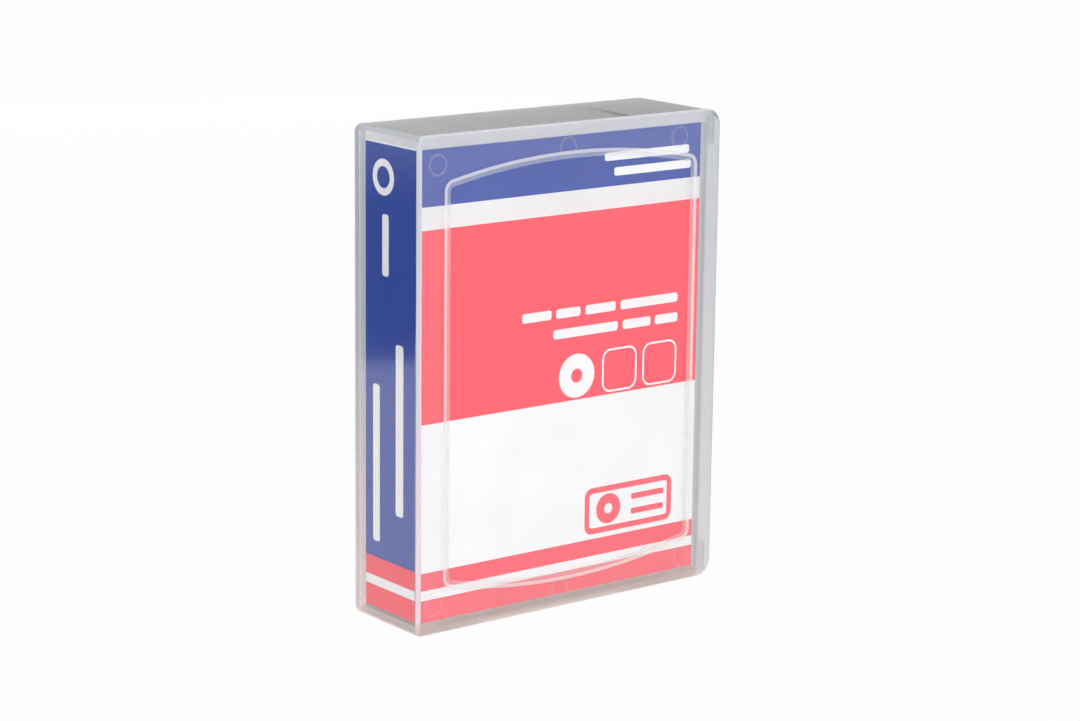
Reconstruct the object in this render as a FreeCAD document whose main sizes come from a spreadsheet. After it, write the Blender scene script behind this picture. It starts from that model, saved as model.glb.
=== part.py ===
"""Removable disk cartridge in its hinged, book-style storage case.

The case stands on its bottom edge. +Z is up, the front cover faces -Y and the
spine is on the left. The origin is the middle of the case's footprint. Sizes are
in millimetres. The drive sets the size of the cartridge, and the cartridge sets
the size of the case.
"""
import FreeCAD, Part
import math
import os
import re
import Sketcher

SIZES = {
    # disk drive, stacked along Y from its lid to its circuit board
    "platter_radius": 32.5,
    "platter_bore": 10.0,
    "platter_thickness": 0.7,
    "platter_gap": 1.6,
    "platter_clearance": 0.7,
    "lid_sheet": 0.6,
    "gasket_thickness": 0.3,
    "gasket_width": 1.2,
    "headroom": 0.7,
    "clamp_head": 0.4,
    "clamp_thickness": 0.6,
    "clamp_rim": 2.2,
    "clamp_screw_radius": 2.4,
    "flange_thickness": 0.9,
    "flange_gap": 0.4,
    "floor_thickness": 1.2,
    "board_gap": 0.2,
    "board_thickness": 0.8,
    "chip_height": 0.4,
    "chip_main": 14.0,
    "chip_small": 8.0,
    "chip_gap": 5.0,
    "deck_side_wall": 1.725,
    "deck_end_wall": 1.8,
    "hub_wall": 1.4,
    "shaft_radius": 1.5,
    "running_gap": 0.15,
    "sleeve_wall": 1.6,
    "stator_height": 2.2,
    "pivot_offset": 14.0,
    "pivot_drop": 43.2,
    "pivot_to_end": 22.0,
    "pivot_radius": 2.5,
    "barrel_wall": 1.9,
    "arm_reach": 37.0,
    "arm_plate": 26.0,
    "arm_root": 3.6,
    "arm_tip": 1.8,
    "arm_thickness": 0.4,
    "park_gap": 1.9,
    "spring_thickness": 0.12,
    "spring_width": 2.0,
    "tab_length": 2.2,
    "slider_height": 0.33,
    "coil_inner": 6.2,
    "coil_outer": 14.2,
    "coil_root": 3.0,
    "coil_end": 5.2,
    "coil_thickness": 1.4,
    "coil_wire": 1.8,
    "fork_rim": 1.0,
    "magnet_gap": 0.3,
    "magnet_thickness": 0.8,
    "yoke_thickness": 0.8,
    "yoke_inner": 7.5,
    "yoke_outer": 15.5,
    "yoke_root": 5.5,
    "yoke_end": 8.5,
    "swing_half": 15.0,
    "bay_left": 28.0,
    "bay_bottom": 5.0,
    "bay_chamfer": 8.5,
    "ramp_length": 3.0,
    "ramp_gap": 0.2,
    "lid_screw_inset": 3.4,
    "lid_head_radius": 1.6,
    "lid_head_height": 0.45,
    "plug_width": 33.0,
    "plug_length": 5.0,
    "board_inset": 3.0,
    # cartridge, split across its depth
    "side_gap": 6.175,
    "float_gap": 5.15,
    "end_gap": 3.4,
    "dock_gap": 10.8,
    "shell_side": 2.4,
    "shell_end": 1.8,
    "shell_face": 1.6,
    "shell_corner": 4.0,
    "shell_edge": 0.8,
    "grip_rise": 1.0,
    "split_depth": 13.5,
    "groove_depth": 1.2,
    "groove_half": 1.5,
    "groove_top_gap": 32.0,
    "label_width": 70.0,
    "label_length": 72.0,
    "label_depth": 0.3,
    "label_drop": 33.0,
    "ridge_width": 46.0,
    "ridge_pitch": 3.2,
    "ridge_groove": 1.6,
    "ridge_depth": 0.5,
    "ridge_drop": 8.0,
    "boss_half": 2.4,
    "boss_inset": 2.9,
    "boss_low": 5.5,
    "boss_drop": 27.0,
    "screw_radius": 0.8,
    "screw_clearance": 0.1,
    "screw_head_radius": 1.5,
    "screw_head_height": 1.2,
    "screw_grip": 6.0,
    "contact_board_width": 46.0,
    "contact_board_length": 6.6,
    "contact_board_thickness": 1.0,
    "contact_board_recess": 0.8,
    "contact_slot_half": 2.0,
    "contact_pitch": 1.9,
    "contact_width": 1.1,
    "contact_length": 4.0,
    "contact_thickness": 0.06,
    "socket_length": 4.0,
    "socket_height": 4.0,
    "ribbon_width": 30.0,
    "ribbon_thickness": 0.2,
    "ribbon_lap": 2.0,
    "bumper_grip": 8.0,
    "bumper_run": 10.0,
    "bumper_end": 2.6,
    "tab_slot": 12.0,
    "tab_knob": 6.8,
    "tab_height": 3.2,
    "tab_gap": 0.15,
    "tab_flange": 1.2,
    "tab_overlap": 1.6,
    "tab_proud": 0.5,
    "tab_depth": 4.0,
    # storage case
    "case_wall": 1.5,
    "front_gap": 3.8,
    "rest_pad": 1.0,
    "nest_gap_end": 8.0,
    "nest_gap_side": 5.8,
    "nest_clearance": 0.4,
    "nest_leg": 14.0,
    "nest_wall": 1.2,
    "nest_height": 9.0,
    "rest_width": 2.0,
    "rest_inset": 22.0,
    "lip_overhang": 4.0,
    "lip_corner": 4.8,
    "cover_edge": 0.5,
    "hinge_radius": 1.8,
    "hinge_gap": 0.1,
    "rim_edge": 0.9,
    "groove_width": 0.6,
    "groove_depth": 0.35,
    "back_corner": 1.8,
    "seam_gap": 0.25,
    "spine_gap": 0.3,
    "rib_height": 2.6,
    "rib_wall": 1.2,
    "rib_clearance": 0.35,
    "rib_start": 6.5,
    "return_gap": 0.9,
    "return_wall": 1.3,
    "return_height": 2.2,
    "return_length": 9.0,
    "return_inset": 1.2,
    "panel_side": 8.6,
    "panel_end": 7.8,
    "panel_rise": 5.0,
    "panel_corner": 2.6,
    "panel_depth": 0.3,
    "panel_slope": 2.2,
    "clip_width": 7.0,
    "clip_reach": 3.2,
    "clip_wall": 0.8,
    "clip_spread": 26.0,
    "grip_width": 52.0,
    "grip_depth": 0.6,
    "grip_run": 22.0,
    "grip_shift": 2.8,
    "card_thickness": 0.25,
    "card_gap": 0.05,
    "card_end": 3.6,
    "card_hinge": 0.55,
    "card_spine": 0.6,
    "card_right": 1.25,
    "card_back": 5.05,
}

LAYOUT = {
    "drive_width": "2 * (platter_radius + platter_clearance + deck_side_wall)",
    "drive_length": "platter_radius + platter_clearance + deck_end_wall + pivot_drop + pivot_to_end",
    "stack_height": "clamp_head + clamp_thickness + 2 * platter_thickness + platter_gap + flange_thickness",
    "deck_depth": "headroom + stack_height + flange_gap + floor_thickness",
    "drive_depth": "lid_sheet + gasket_thickness + deck_depth + board_gap + board_thickness + chip_height",
    "cart_width": "drive_width + 2 * side_gap + 2 * shell_side",
    "cart_length": "drive_length + end_gap + dock_gap + 2 * shell_end + grip_rise",
    "cart_depth": "drive_depth + 2 * float_gap + 2 * shell_face",
    "case_height": "cart_length + 2 * nest_gap_end + 2 * case_wall",
    "tray_width": "cart_width + 2 * nest_gap_side + 2 * case_wall",
    "case_width": "tray_width + lip_overhang",
    "case_depth": "cart_depth + front_gap + rest_pad + 2 * case_wall",
    # case planes
    "case_left": "-case_width / 2",
    "case_right": "case_width / 2",
    "tray_right": "case_left + tray_width",
    "case_front": "-case_depth / 2",
    "case_back": "case_depth / 2",
    "cover_inside": "case_front + case_wall",
    "tray_inside": "case_back - case_wall",
    "spine_inside": "case_left + case_wall",
    "wall_start": "spine_inside + spine_gap",
    "seam": "cover_inside + seam_gap",
    # where the mitred hinge edge leaves the rounded corner, measured from the corner
    "hinge_near": "hinge_radius - (hinge_gap + sqrt(2 * hinge_radius ^ 2 - hinge_gap ^ 2)) / 2",
    "hinge_far": "hinge_near + hinge_gap",
    # arched panel: where its corner arcs meet its sides (knee) and its arches (shoulder)
    "panel_half": "case_width / 2 - panel_side",
    "panel_arch": "(panel_half ^ 2 + panel_rise ^ 2) / (2 * panel_rise)",
    "panel_share": "panel_arch / (panel_arch - panel_corner)",
    "panel_fall": "sqrt((panel_arch - panel_corner) ^ 2 - (panel_half - panel_corner) ^ 2)",
    "panel_touch": "(panel_half - panel_corner) * panel_share",
    "panel_knee": "panel_end + panel_arch - panel_fall",
    "panel_shoulder": "panel_end + panel_arch - panel_fall * panel_share",
    # cartridge planes
    "cart_x": "case_left + tray_width / 2",
    "cart_left": "cart_x - cart_width / 2",
    "cart_right": "cart_x + cart_width / 2",
    "cart_front": "cover_inside + front_gap",
    "cart_back": "cart_front + cart_depth",
    "cart_low": "case_wall + nest_gap_end",
    "cart_top": "cart_low + cart_length",
    "split": "cart_front + split_depth",
    "room_left": "cart_left + shell_side",
    "room_right": "cart_right - shell_side",
    "room_front": "cart_front + shell_face",
    "room_back": "cart_back - shell_face",
    "room_low": "cart_low + shell_end",
    "room_top": "cart_top - grip_rise - shell_end",
    "boss_x": "cart_width / 2 - shell_side - boss_inset",
    "boss_z1": "cart_low + boss_low",
    "boss_z2": "cart_top - boss_drop",
    "board_front": "split - contact_board_thickness / 2",
    "board_low": "cart_low + contact_board_recess",
    "board_top": "board_low + contact_board_length",
    "tab_y": "room_back - tab_depth",
    "flange_top": "room_top - tab_gap",
    "flange_low": "flange_top - tab_flange",
    # drive planes
    "drive_left": "cart_x - drive_width / 2",
    "drive_right": "cart_x + drive_width / 2",
    "drive_front": "room_front + float_gap",
    "drive_back": "drive_front + drive_depth",
    "drive_low": "room_low + dock_gap",
    "drive_top": "drive_low + drive_length",
    "deck_front": "drive_front + lid_sheet + gasket_thickness",
    "deck_back": "deck_front + deck_depth",
    "deck_floor": "deck_back - floor_thickness",
    "flange_back": "deck_floor - flange_gap",
    "lower_back": "flange_back - flange_thickness",
    "lower_front": "lower_back - platter_thickness",
    "upper_back": "lower_front - platter_gap",
    "upper_front": "upper_back - platter_thickness",
    "clamp_front": "upper_front - clamp_thickness",
    "arm_lower": "lower_back + platter_gap / 2",
    "arm_middle": "lower_front - platter_gap / 2",
    "arm_upper": "upper_front - platter_gap / 2",
    "spindle_z": "drive_top - deck_end_wall - platter_clearance - platter_radius",
    "pivot_x": "cart_x + pivot_offset",
    "pivot_z": "spindle_z - pivot_drop",
    "pivot_span": "sqrt(pivot_offset ^ 2 + pivot_drop ^ 2)",
    "park_radius": "platter_radius + park_gap",
    "park_share": "(pivot_span ^ 2 + arm_reach ^ 2 - park_radius ^ 2) / (2 * pivot_span * arm_reach)",
    "arm_angle": "90 deg + atan(pivot_offset / pivot_drop) + acos(park_share)",
    "barrel_radius": "pivot_radius + running_gap + barrel_wall",
    "sleeve_radius": "shaft_radius + running_gap + sleeve_wall",
    "spring_start": "arm_plate - 3 * spring_width",
    "spring_end": "arm_reach + tab_length",
    "board_back": "deck_back + board_gap + board_thickness",
}

doc = FreeCAD.newDocument("disk_cartridge")
sizes = doc.addObject("Spreadsheet::Sheet", "Sizes")
layout = doc.addObject("Spreadsheet::Sheet", "Layout")


def full(text):
    """Put the sheet's name before each alias in an expression."""
    def named(match):
        word = match.group(0)
        if word in SIZES:
            return "Sizes." + word
        return "Layout." + word if word in LAYOUT else word
    return re.sub(r"[a-z][a-z0-9_]*", named, str(text))


for row, (alias, number) in enumerate(SIZES.items(), start=1):
    sizes.set(f"A{row}", alias)
    sizes.set(f"B{row}", str(number))
    sizes.setAlias(f"B{row}", alias)
for row, (alias, formula) in enumerate(LAYOUT.items(), start=1):
    layout.set(f"A{row}", alias)
    layout.set(f"B{row}", "=" + full(formula).replace("Layout.", ""))
    layout.setAlias(f"B{row}", alias)
doc.recompute()


def value(text):
    """Number that an expression has now."""
    number = sizes.evalExpression(full(text))
    return float(getattr(number, "Value", number))


def bind(thing, prop, text):
    thing.setExpression(prop, full(text))


def box(name, x, y, z):
    """Block between two planes along each axis."""
    solid = doc.addObject("Part::Box", name)
    for prop, axis, (low, high) in zip(("Length", "Width", "Height"), "xyz", (x, y, z)):
        bind(solid, prop, f"({high}) - ({low})")
        bind(solid, f"Placement.Base.{axis}", low)
    return solid


def disc(name, x, z, radius, y):
    """Cylinder along Y between two planes."""
    solid = doc.addObject("Part::Cylinder", name)
    solid.Placement = FreeCAD.Placement(
        FreeCAD.Vector(), FreeCAD.Rotation(FreeCAD.Vector(1, 0, 0), -90))
    bind(solid, "Radius", radius)
    bind(solid, "Height", f"({y[1]}) - ({y[0]})")
    for axis, place in zip("xyz", (x, y[0], z)):
        bind(solid, f"Placement.Base.{axis}", place)
    return solid


def fuse(name, *solids):
    joined = doc.addObject("Part::MultiFuse", name)
    joined.Shapes = list(solids)
    return joined


def cut(name, base, *tools):
    carved = doc.addObject("Part::Cut", name)
    carved.Base = base
    carved.Tool = tools[0] if len(tools) == 1 else fuse(name + "_tools", *tools)
    return carved


def ring(name, x, z, outer, inner, y):
    return cut(name, disc(name + "_outer", x, z, outer, y), disc(name + "_bore", x, z, inner, y))


def group(name, solids):
    """Like pieces that share one node."""
    together = doc.addObject("Part::Compound", name)
    together.Links = list(solids)
    return together


def sketch(body, name, plane, level):
    """Sketch on one of the body's origin planes, moved to a level along the third axis."""
    drawn = body.newObject("Sketcher::SketchObject", name)
    support = [item for item in body.Origin.OriginFeatures if item.Role == plane + "_Plane"]
    drawn.AttachmentSupport = [(support[0], "")]
    drawn.MapMode = "FlatFace"
    bind(drawn, "AttachmentOffset.Base.z", f"-({level})" if plane == "XZ" else level)
    return drawn


def measure(drawn, kind, text, *where):
    """Driven sketch constraint."""
    index = drawn.addConstraint(Sketcher.Constraint(kind, *where, value(text)))
    bind(drawn, f"Constraints[{index}]", text)


def outline(drawn, corners, bends=None):
    """Closed loop through corners; a bend is a radius, with + bulging left of the way round."""
    bends = bends or {}
    points = [FreeCAD.Vector(value(x), value(y), 0) for x, y in corners]
    ends = []
    for number, start in enumerate(points):
        finish = points[(number + 1) % len(points)]
        if number not in bends:
            edge = drawn.addGeometry(Part.LineSegment(start, finish), False)
            ends.append((edge, 1, 2))
            continue
        side, text = bends[number]
        chord = finish - start
        left = FreeCAD.Vector(-chord.y, chord.x, 0).normalize()
        reach = math.sqrt(max(value(text) ** 2 - (chord.Length / 2) ** 2, 0))
        middle = (start + finish) / 2 - left * (side * reach)
        turns = [math.atan2(p.y - middle.y, p.x - middle.x) for p in (start, finish)]
        first, last = turns if side < 0 else turns[::-1]
        circle = Part.Circle(middle, FreeCAD.Vector(0, 0, 1), value(text))
        edge = drawn.addGeometry(Part.ArcOfCircle(circle, first, last), False)
        ends.append((edge, 1, 2) if side < 0 else (edge, 2, 1))
        measure(drawn, "Radius", text, edge)
    for number, (edge, start, finish) in enumerate(ends):
        following = ends[(number + 1) % len(ends)]
        drawn.addConstraint(Sketcher.Constraint("Coincident", edge, finish, following[0], following[1]))
        measure(drawn, "DistanceX", corners[number][0], -1, 1, edge, start)
        measure(drawn, "DistanceY", corners[number][1], -1, 1, edge, start)


def rectangle(drawn, x, y):
    outline(drawn, [(x[0], y[0]), (x[1], y[0]), (x[1], y[1]), (x[0], y[1])])


def circle(drawn, x, y, radius):
    spot = FreeCAD.Vector(value(x), value(y), 0)
    edge = drawn.addGeometry(Part.Circle(spot, FreeCAD.Vector(0, 0, 1), value(radius)), False)
    measure(drawn, "Radius", radius, edge)
    measure(drawn, "DistanceX", x, -1, 1, edge, 3)
    measure(drawn, "DistanceY", y, -1, 1, edge, 3)


def pad(body, profile, length, away=False):
    """Add material along the sketch's normal, or away from it."""
    made = body.newObject("PartDesign::Pad", profile.Name + "_pad")
    made.Profile = profile
    made.Reversed = away
    bind(made, "Length", length)
    doc.recompute()
    return made


def pocket(body, profile, length, away=True, taper=None):
    """Cut away material against the sketch's normal, or along it."""
    before = body.Shape.Volume
    made = body.newObject("PartDesign::Pocket", profile.Name + "_pocket")
    made.Profile = profile
    made.Reversed = not away
    bind(made, "Length", length)
    if taper:
        bind(made, "TaperAngle", taper)
    doc.recompute()
    if body.Shape.Volume > before - 1e-6:
        raise RuntimeError(made.Name + " cuts nothing")
    return made


def dress(body, name, kind, size, wanted):
    """Fillet or chamfer the edges of the body that a test picks out."""
    doc.recompute()
    edges = [f"Edge{n}" for n, edge in enumerate(body.Shape.Edges, start=1) if wanted(edge)]
    if not edges:
        raise RuntimeError(name + " finds no edge")
    base = body.Tip
    made = body.newObject("PartDesign::" + kind, name)
    made.Base = (base, edges)
    bind(made, "Radius" if kind == "Fillet" else "Size", size)
    doc.recompute()
    return made


def runs_along(axis, **at):
    """Edge test: straight along an axis, at given expressions for the other two."""
    places = {key: value(text) for key, text in at.items()}

    def wanted(edge):
        if edge.Curve.TypeId != "Part::GeomLine":
            return False
        way = edge.Vertexes[1].Point - edge.Vertexes[0].Point
        if abs(getattr(way, axis)) < 0.999 * way.Length:
            return False
        return all(abs(getattr(edge.CenterOfMass, key) - place) < 1e-3 for key, place in places.items())
    return wanted


def lies_in(axis, level, **clear_of):
    """Edge test: wholly in a plane across an axis, and not the edge next to a hinge's round."""
    place = value(level)
    round_ends = {key: value(text) + value("hinge_radius") for key, text in clear_of.items()}

    def wanted(edge):
        points = edge.discretize(5)
        beside = any(all(abs(getattr(point, key) - end) < 1e-3 for point in points)
                     for key, end in round_ends.items())
        return not beside and all(abs(getattr(point, axis) - place) < 1e-3 for point in points)
    return wanted


def either(*tests):
    return lambda edge: any(test(edge) for test in tests)


ALL_NODES = []


def node(piece, label):
    """Give a finished piece the name of its file."""
    piece.Label = label
    ALL_NODES.append(piece)
    return piece


# Front leaf of the case: a flat plate that ends in a mitred living-hinge edge on the
# left and overhangs the tray on the right.
cover = doc.addObject("PartDesign::Body", "cover")
plan = sketch(cover, "cover_plan", "XY", "0")
outline(plan, [
    ("case_left + hinge_radius", "case_front"),
    ("case_right", "case_front"),
    ("case_right", "cover_inside"),
    ("spine_inside + hinge_gap", "cover_inside"),
    ("case_left + hinge_far", "case_front + hinge_near"),
], {4: (-1, "hinge_radius")})
pad(cover, plan, "case_height")
dress(cover, "cover_lip_corners", "Fillet", "lip_corner",
      either(runs_along("y", x="case_right", z="0"), runs_along("y", x="case_right", z="case_height")))
dress(cover, "cover_front_edge", "Chamfer", "cover_edge", lies_in("y", "case_front", x="case_left"))

# Arched sunk panel with rounded corners and a broad sloping wall.
panel = sketch(cover, "cover_panel", "XZ", "case_front")
outline(panel, [
    ("-panel_touch", "case_height - panel_shoulder"),
    ("panel_touch", "case_height - panel_shoulder"),
    ("panel_half", "case_height - panel_knee"),
    ("panel_half", "panel_knee"),
    ("panel_touch", "panel_shoulder"),
    ("-panel_touch", "panel_shoulder"),
    ("-panel_half", "panel_knee"),
    ("-panel_half", "case_height - panel_knee"),
], {
    0: (1, "panel_arch"), 1: (1, "panel_corner"), 3: (1, "panel_corner"),
    4: (1, "panel_arch"), 5: (1, "panel_corner"), 7: (1, "panel_corner"),
})
pocket(cover, panel, "panel_depth", taper="-atan(panel_slope / panel_depth)")

# Locating ribs that drop inside the tray's top and bottom walls.
ribs = sketch(cover, "cover_ribs", "XZ", "cover_inside")
for low in ("case_wall + rib_clearance", "case_height - case_wall - rib_clearance - rib_wall"):
    rectangle(ribs,
              ("case_left + rib_start", "tray_right - case_wall - rib_clearance"),
              (low, f"{low} + rib_wall"))
pad(cover, ribs, "rib_height", away=True)

# Short returns behind the lip, outside the tray's right wall.
returns = sketch(cover, "cover_returns", "XZ", "cover_inside")
for low in ("return_inset", "case_height - return_inset - return_length"):
    rectangle(returns,
              ("tray_right + return_gap", "tray_right + return_gap + return_wall"),
              (low, f"{low} + return_length"))
pad(cover, returns, "return_height", away=True)

# Clips on the ribs that hold the card's edge.
clips = sketch(cover, "cover_clips", "XZ", "cover_inside + rib_height - clip_wall")
for side in ("-clip_spread", "clip_spread"):
    middle = f"cart_x + {side}"
    span = (f"{middle} - clip_width / 2", f"{middle} + clip_width / 2")
    rectangle(clips, span, ("case_wall + rib_clearance", "case_wall + rib_clearance + clip_reach"))
    rectangle(clips, span, ("case_height - case_wall - rib_clearance - clip_reach",
                            "case_height - case_wall - rib_clearance"))
pad(cover, clips, "clip_wall", away=True)
node(cover, "case_cover")

# Narrow leaf between the two living hinges, mitred at both ends.
spine = doc.addObject("PartDesign::Body", "spine")
plan = sketch(spine, "spine_plan", "XY", "0")
outline(plan, [
    ("case_left", "case_front + hinge_radius"),
    ("case_left + hinge_near", "case_front + hinge_far"),
    ("spine_inside", "cover_inside + hinge_gap"),
    ("spine_inside", "tray_inside - hinge_gap"),
    ("case_left + hinge_near", "case_back - hinge_far"),
    ("case_left", "case_back - hinge_radius"),
], {0: (-1, "hinge_radius"), 4: (-1, "hinge_radius")})
pad(spine, plan, "case_height")
dress(spine, "spine_rims", "Chamfer", "rim_edge",
      either(runs_along("y", x="case_left", z="0"), runs_along("y", x="case_left", z="case_height")))

# Groove along the back of the spine, where the leaf bends into the tray.
groove = sketch(spine, "spine_groove", "XY", "0")
outline(groove, [
    ("case_left - groove_depth", "case_back - hinge_radius"),
    ("case_left - groove_depth", "case_back - hinge_radius - groove_width"),
    ("case_left", "case_back - hinge_radius - groove_width"),
    ("case_left + groove_depth", "case_back - hinge_radius - groove_width / 2"),
    ("case_left", "case_back - hinge_radius"),
])
pocket(spine, groove, "case_height", away=False)
node(spine, "case_spine")

# Tray: back plate with the other hinge edge, and three walls.
tray = doc.addObject("PartDesign::Body", "tray")
plan = sketch(tray, "tray_plan", "XY", "0")
outline(plan, [
    ("case_left + hinge_radius", "case_back"),
    ("case_left + hinge_far", "case_back - hinge_near"),
    ("spine_inside + hinge_gap", "tray_inside"),
    ("tray_right", "tray_inside"),
    ("tray_right", "case_back"),
], {0: (-1, "hinge_radius")})
pad(tray, plan, "case_height")
walls = sketch(tray, "tray_walls", "XZ", "tray_inside")
outline(walls, [
    ("wall_start", "0"),
    ("tray_right", "0"),
    ("tray_right", "case_height"),
    ("wall_start", "case_height"),
    ("wall_start", "case_height - case_wall"),
    ("tray_right - case_wall", "case_height - case_wall"),
    ("tray_right - case_wall", "case_wall"),
    ("wall_start", "case_wall"),
])
pad(tray, walls, "tray_inside - seam")
dress(tray, "tray_back_edges", "Fillet", "back_corner",
      either(runs_along("z", x="tray_right", y="case_back"),
             runs_along("y", x="tray_right", z="0"),
             runs_along("y", x="tray_right", z="case_height")))
dress(tray, "tray_rims", "Chamfer", "rim_edge",
      either(runs_along("x", y="case_back", z="0"), runs_along("x", y="case_back", z="case_height")))

# Thumb ramps in the top and bottom walls: deepest at the seam, running out towards the back.
for name, level, into in (("tray_grip_top", "case_height", "-"), ("tray_grip_low", "0", "+")):
    ramp = sketch(tray, name, "YZ", "cart_x - grip_shift + grip_width / 2")
    outline(ramp, [
        ("seam", level),
        ("seam", f"{level} {into} grip_depth"),
        ("seam + grip_run", level),
    ])
    pocket(tray, ramp, "grip_width")

# Corner brackets and rest pads that nest the cartridge.
nest = sketch(tray, "tray_nest", "XZ", "tray_inside")
for side, near in (("cart_left", "-"), ("cart_right", "+")):
    inner = f"{side} {near} nest_clearance"
    outer = f"{inner} {near} nest_wall"
    toe = f"{inner} {'+' if near == '-' else '-'} nest_leg"
    for edge, below, gap in (("cart_low", "-", "0"), ("cart_top", "+", "nest_clearance")):
        seat = f"{edge} {below} {gap}"
        under = f"{seat} {below} nest_wall"
        heel = f"{seat} {'+' if below == '-' else '-'} nest_leg"
        outline(nest, [(outer, under), (toe, under), (toe, seat), (inner, seat), (inner, heel), (outer, heel)])
pad(tray, nest, "nest_height")
pads = sketch(tray, "tray_pads", "XZ", "tray_inside")
for low in ("cart_low + rest_inset", "cart_top - rest_inset - rest_width"):
    rectangle(pads, ("cart_left + rest_inset", "cart_right - rest_inset"), (low, f"{low} + rest_width"))
pad(tray, pads, "rest_pad")
node(tray, "case_tray")

# Printed cards that lie against the cover and the spine.
node(box("front_card",
         ("spine_inside + card_hinge", "tray_right - case_wall - card_right"),
         ("cover_inside + card_gap", "cover_inside + card_gap + card_thickness"),
         ("card_end", "case_height - card_end")), "front_insert")
node(box("spine_card",
         ("spine_inside + card_gap", "spine_inside + card_gap + card_thickness"),
         ("cover_inside + card_spine", "case_back - card_back"),
         ("card_end", "case_height - card_end")), "spine_insert")


def half_shell(name, face, away):
    """Half of the cartridge's housing, from its outer face to the split."""
    half = doc.addObject("PartDesign::Body", name)
    thick = "split_depth" if away else "cart_depth - split_depth"
    profile = sketch(half, name + "_outline", "XZ", face)
    outline(profile, [
        ("cart_left", "cart_low"),
        ("cart_right", "cart_low"),
        ("cart_right", "cart_top - grip_rise"),
        ("cart_left", "cart_top - grip_rise"),
    ], {2: (-1, "((cart_width / 2) ^ 2 + grip_rise ^ 2) / (2 * grip_rise)")})
    pad(half, profile, thick, away=away)
    dress(half, name + "_corners", "Fillet", "shell_corner",
          either(*[runs_along("y", x=x, z=z) for x in ("cart_left", "cart_right")
                   for z in ("cart_low", "cart_top - grip_rise")]))
    dress(half, name + "_edge", "Chamfer", "shell_edge", lies_in("y", face))
    room = sketch(half, name + "_room", "XZ", "split")
    rectangle(room, ("room_left", "room_right"), ("room_low", "room_top"))
    pocket(half, room, f"{thick} - shell_face", away=not away)
    bosses = sketch(half, name + "_bosses", "XZ", "split")
    for side in ("-", "+"):
        for height in ("boss_z1", "boss_z2"):
            middle = f"cart_x {side} boss_x"
            rectangle(bosses, (f"{middle} - boss_half", f"{middle} + boss_half"),
                      (f"{height} - boss_half", f"{height} + boss_half"))
    pad(half, bosses, f"{thick} - shell_face", away=not away)
    slot = sketch(half, name + "_dock_slot", "XZ", "split")
    rectangle(slot,
              ("cart_x - contact_board_width / 2 - nest_clearance",
               "cart_x + contact_board_width / 2 + nest_clearance"),
              ("cart_low - shell_end", "room_low + shell_end"))
    pocket(half, slot, "contact_slot_half", away=not away)
    for side, low, high in (("left", "cart_left - groove_depth", "cart_left + groove_depth"),
                            ("right", "cart_right - groove_depth", "cart_right + groove_depth")):
        groove = sketch(half, f"{name}_groove_{side}", "XZ", "split")
        rectangle(groove, (low, high), ("cart_low - groove_depth", "cart_top - groove_top_gap"))
        pocket(half, groove, "groove_half", away=not away)
    ridges = sketch(half, name + "_ridges", "XZ", face)
    for count in range(5):
        upper = f"cart_top - ridge_drop - {count} * ridge_pitch"
        rectangle(ridges, ("cart_x - ridge_width / 2", "cart_x + ridge_width / 2"),
                  (f"{upper} - ridge_groove", upper))
    pocket(half, ridges, "ridge_depth", away=away)
    return half


# Front half of the cartridge, with a sunk field for a label and blind screw holes.
front = half_shell("front_half", "cart_front", True)
field = sketch(front, "front_label", "XZ", "cart_front")
rectangle(field, ("cart_x - label_width / 2", "cart_x + label_width / 2"),
          ("cart_top - label_drop - label_length", "cart_top - label_drop"))
pocket(front, field, "label_depth")
holes = sketch(front, "front_holes", "XZ", "split")
for side in ("-", "+"):
    for height in ("boss_z1", "boss_z2"):
        circle(holes, f"cart_x {side} boss_x", height, "screw_radius + screw_clearance")
pocket(front, holes, "screw_grip + screw_clearance", away=False)
node(front, "cartridge_front_shell")

# Back half, with sunk screw heads and the slot and shelf of the write-protect tab.
back = half_shell("back_half", "cart_back", False)
holes = sketch(back, "back_holes", "XZ", "cart_back")
heads = sketch(back, "back_heads", "XZ", "cart_back")
for side in ("-", "+"):
    for height in ("boss_z1", "boss_z2"):
        circle(holes, f"cart_x {side} boss_x", height, "screw_radius + screw_clearance")
        circle(heads, f"cart_x {side} boss_x", height, "screw_head_radius + screw_clearance")
pocket(back, holes, "cart_depth - split_depth", away=False)
pocket(back, heads, "screw_head_height + screw_clearance", away=False)
slot = sketch(back, "back_tab_slot", "XZ", "tab_y + tab_height / 2")
rectangle(slot, ("cart_x - tab_slot / 2", "cart_x + tab_slot / 2"),
          ("room_top - tab_gap", "cart_top + tab_proud"))
pocket(back, slot, "tab_height", away=False)
shelf = sketch(back, "back_tab_shelf", "XZ", "room_back")
rectangle(shelf, ("cart_x - tab_slot", "cart_x + tab_slot"),
          ("flange_low - tab_gap - tab_flange", "flange_low - tab_gap"))
pad(back, shelf, "tab_depth + tab_height")
node(back, "cartridge_back_shell")

# Sliding write-protect tab: a knob in the slot and a flange behind the end wall.
knob_left = "cart_x - tab_slot / 2 + tab_gap"
knob = box("tab_knob_block",
           (knob_left, f"{knob_left} + tab_knob"),
           ("tab_y - tab_height / 2 + tab_gap", "tab_y + tab_height / 2 - tab_gap"),
           ("flange_low", "cart_top + tab_proud"))
flange = box("tab_flange_block",
             (f"{knob_left} - tab_overlap", f"{knob_left} + tab_knob + tab_overlap"),
             ("tab_y - tab_height / 2 - tab_overlap", "tab_y + tab_height / 2 + tab_overlap"),
             ("flange_low", "flange_top"))
node(fuse("tab_whole", knob, flange), "write_protect_slider")

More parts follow.
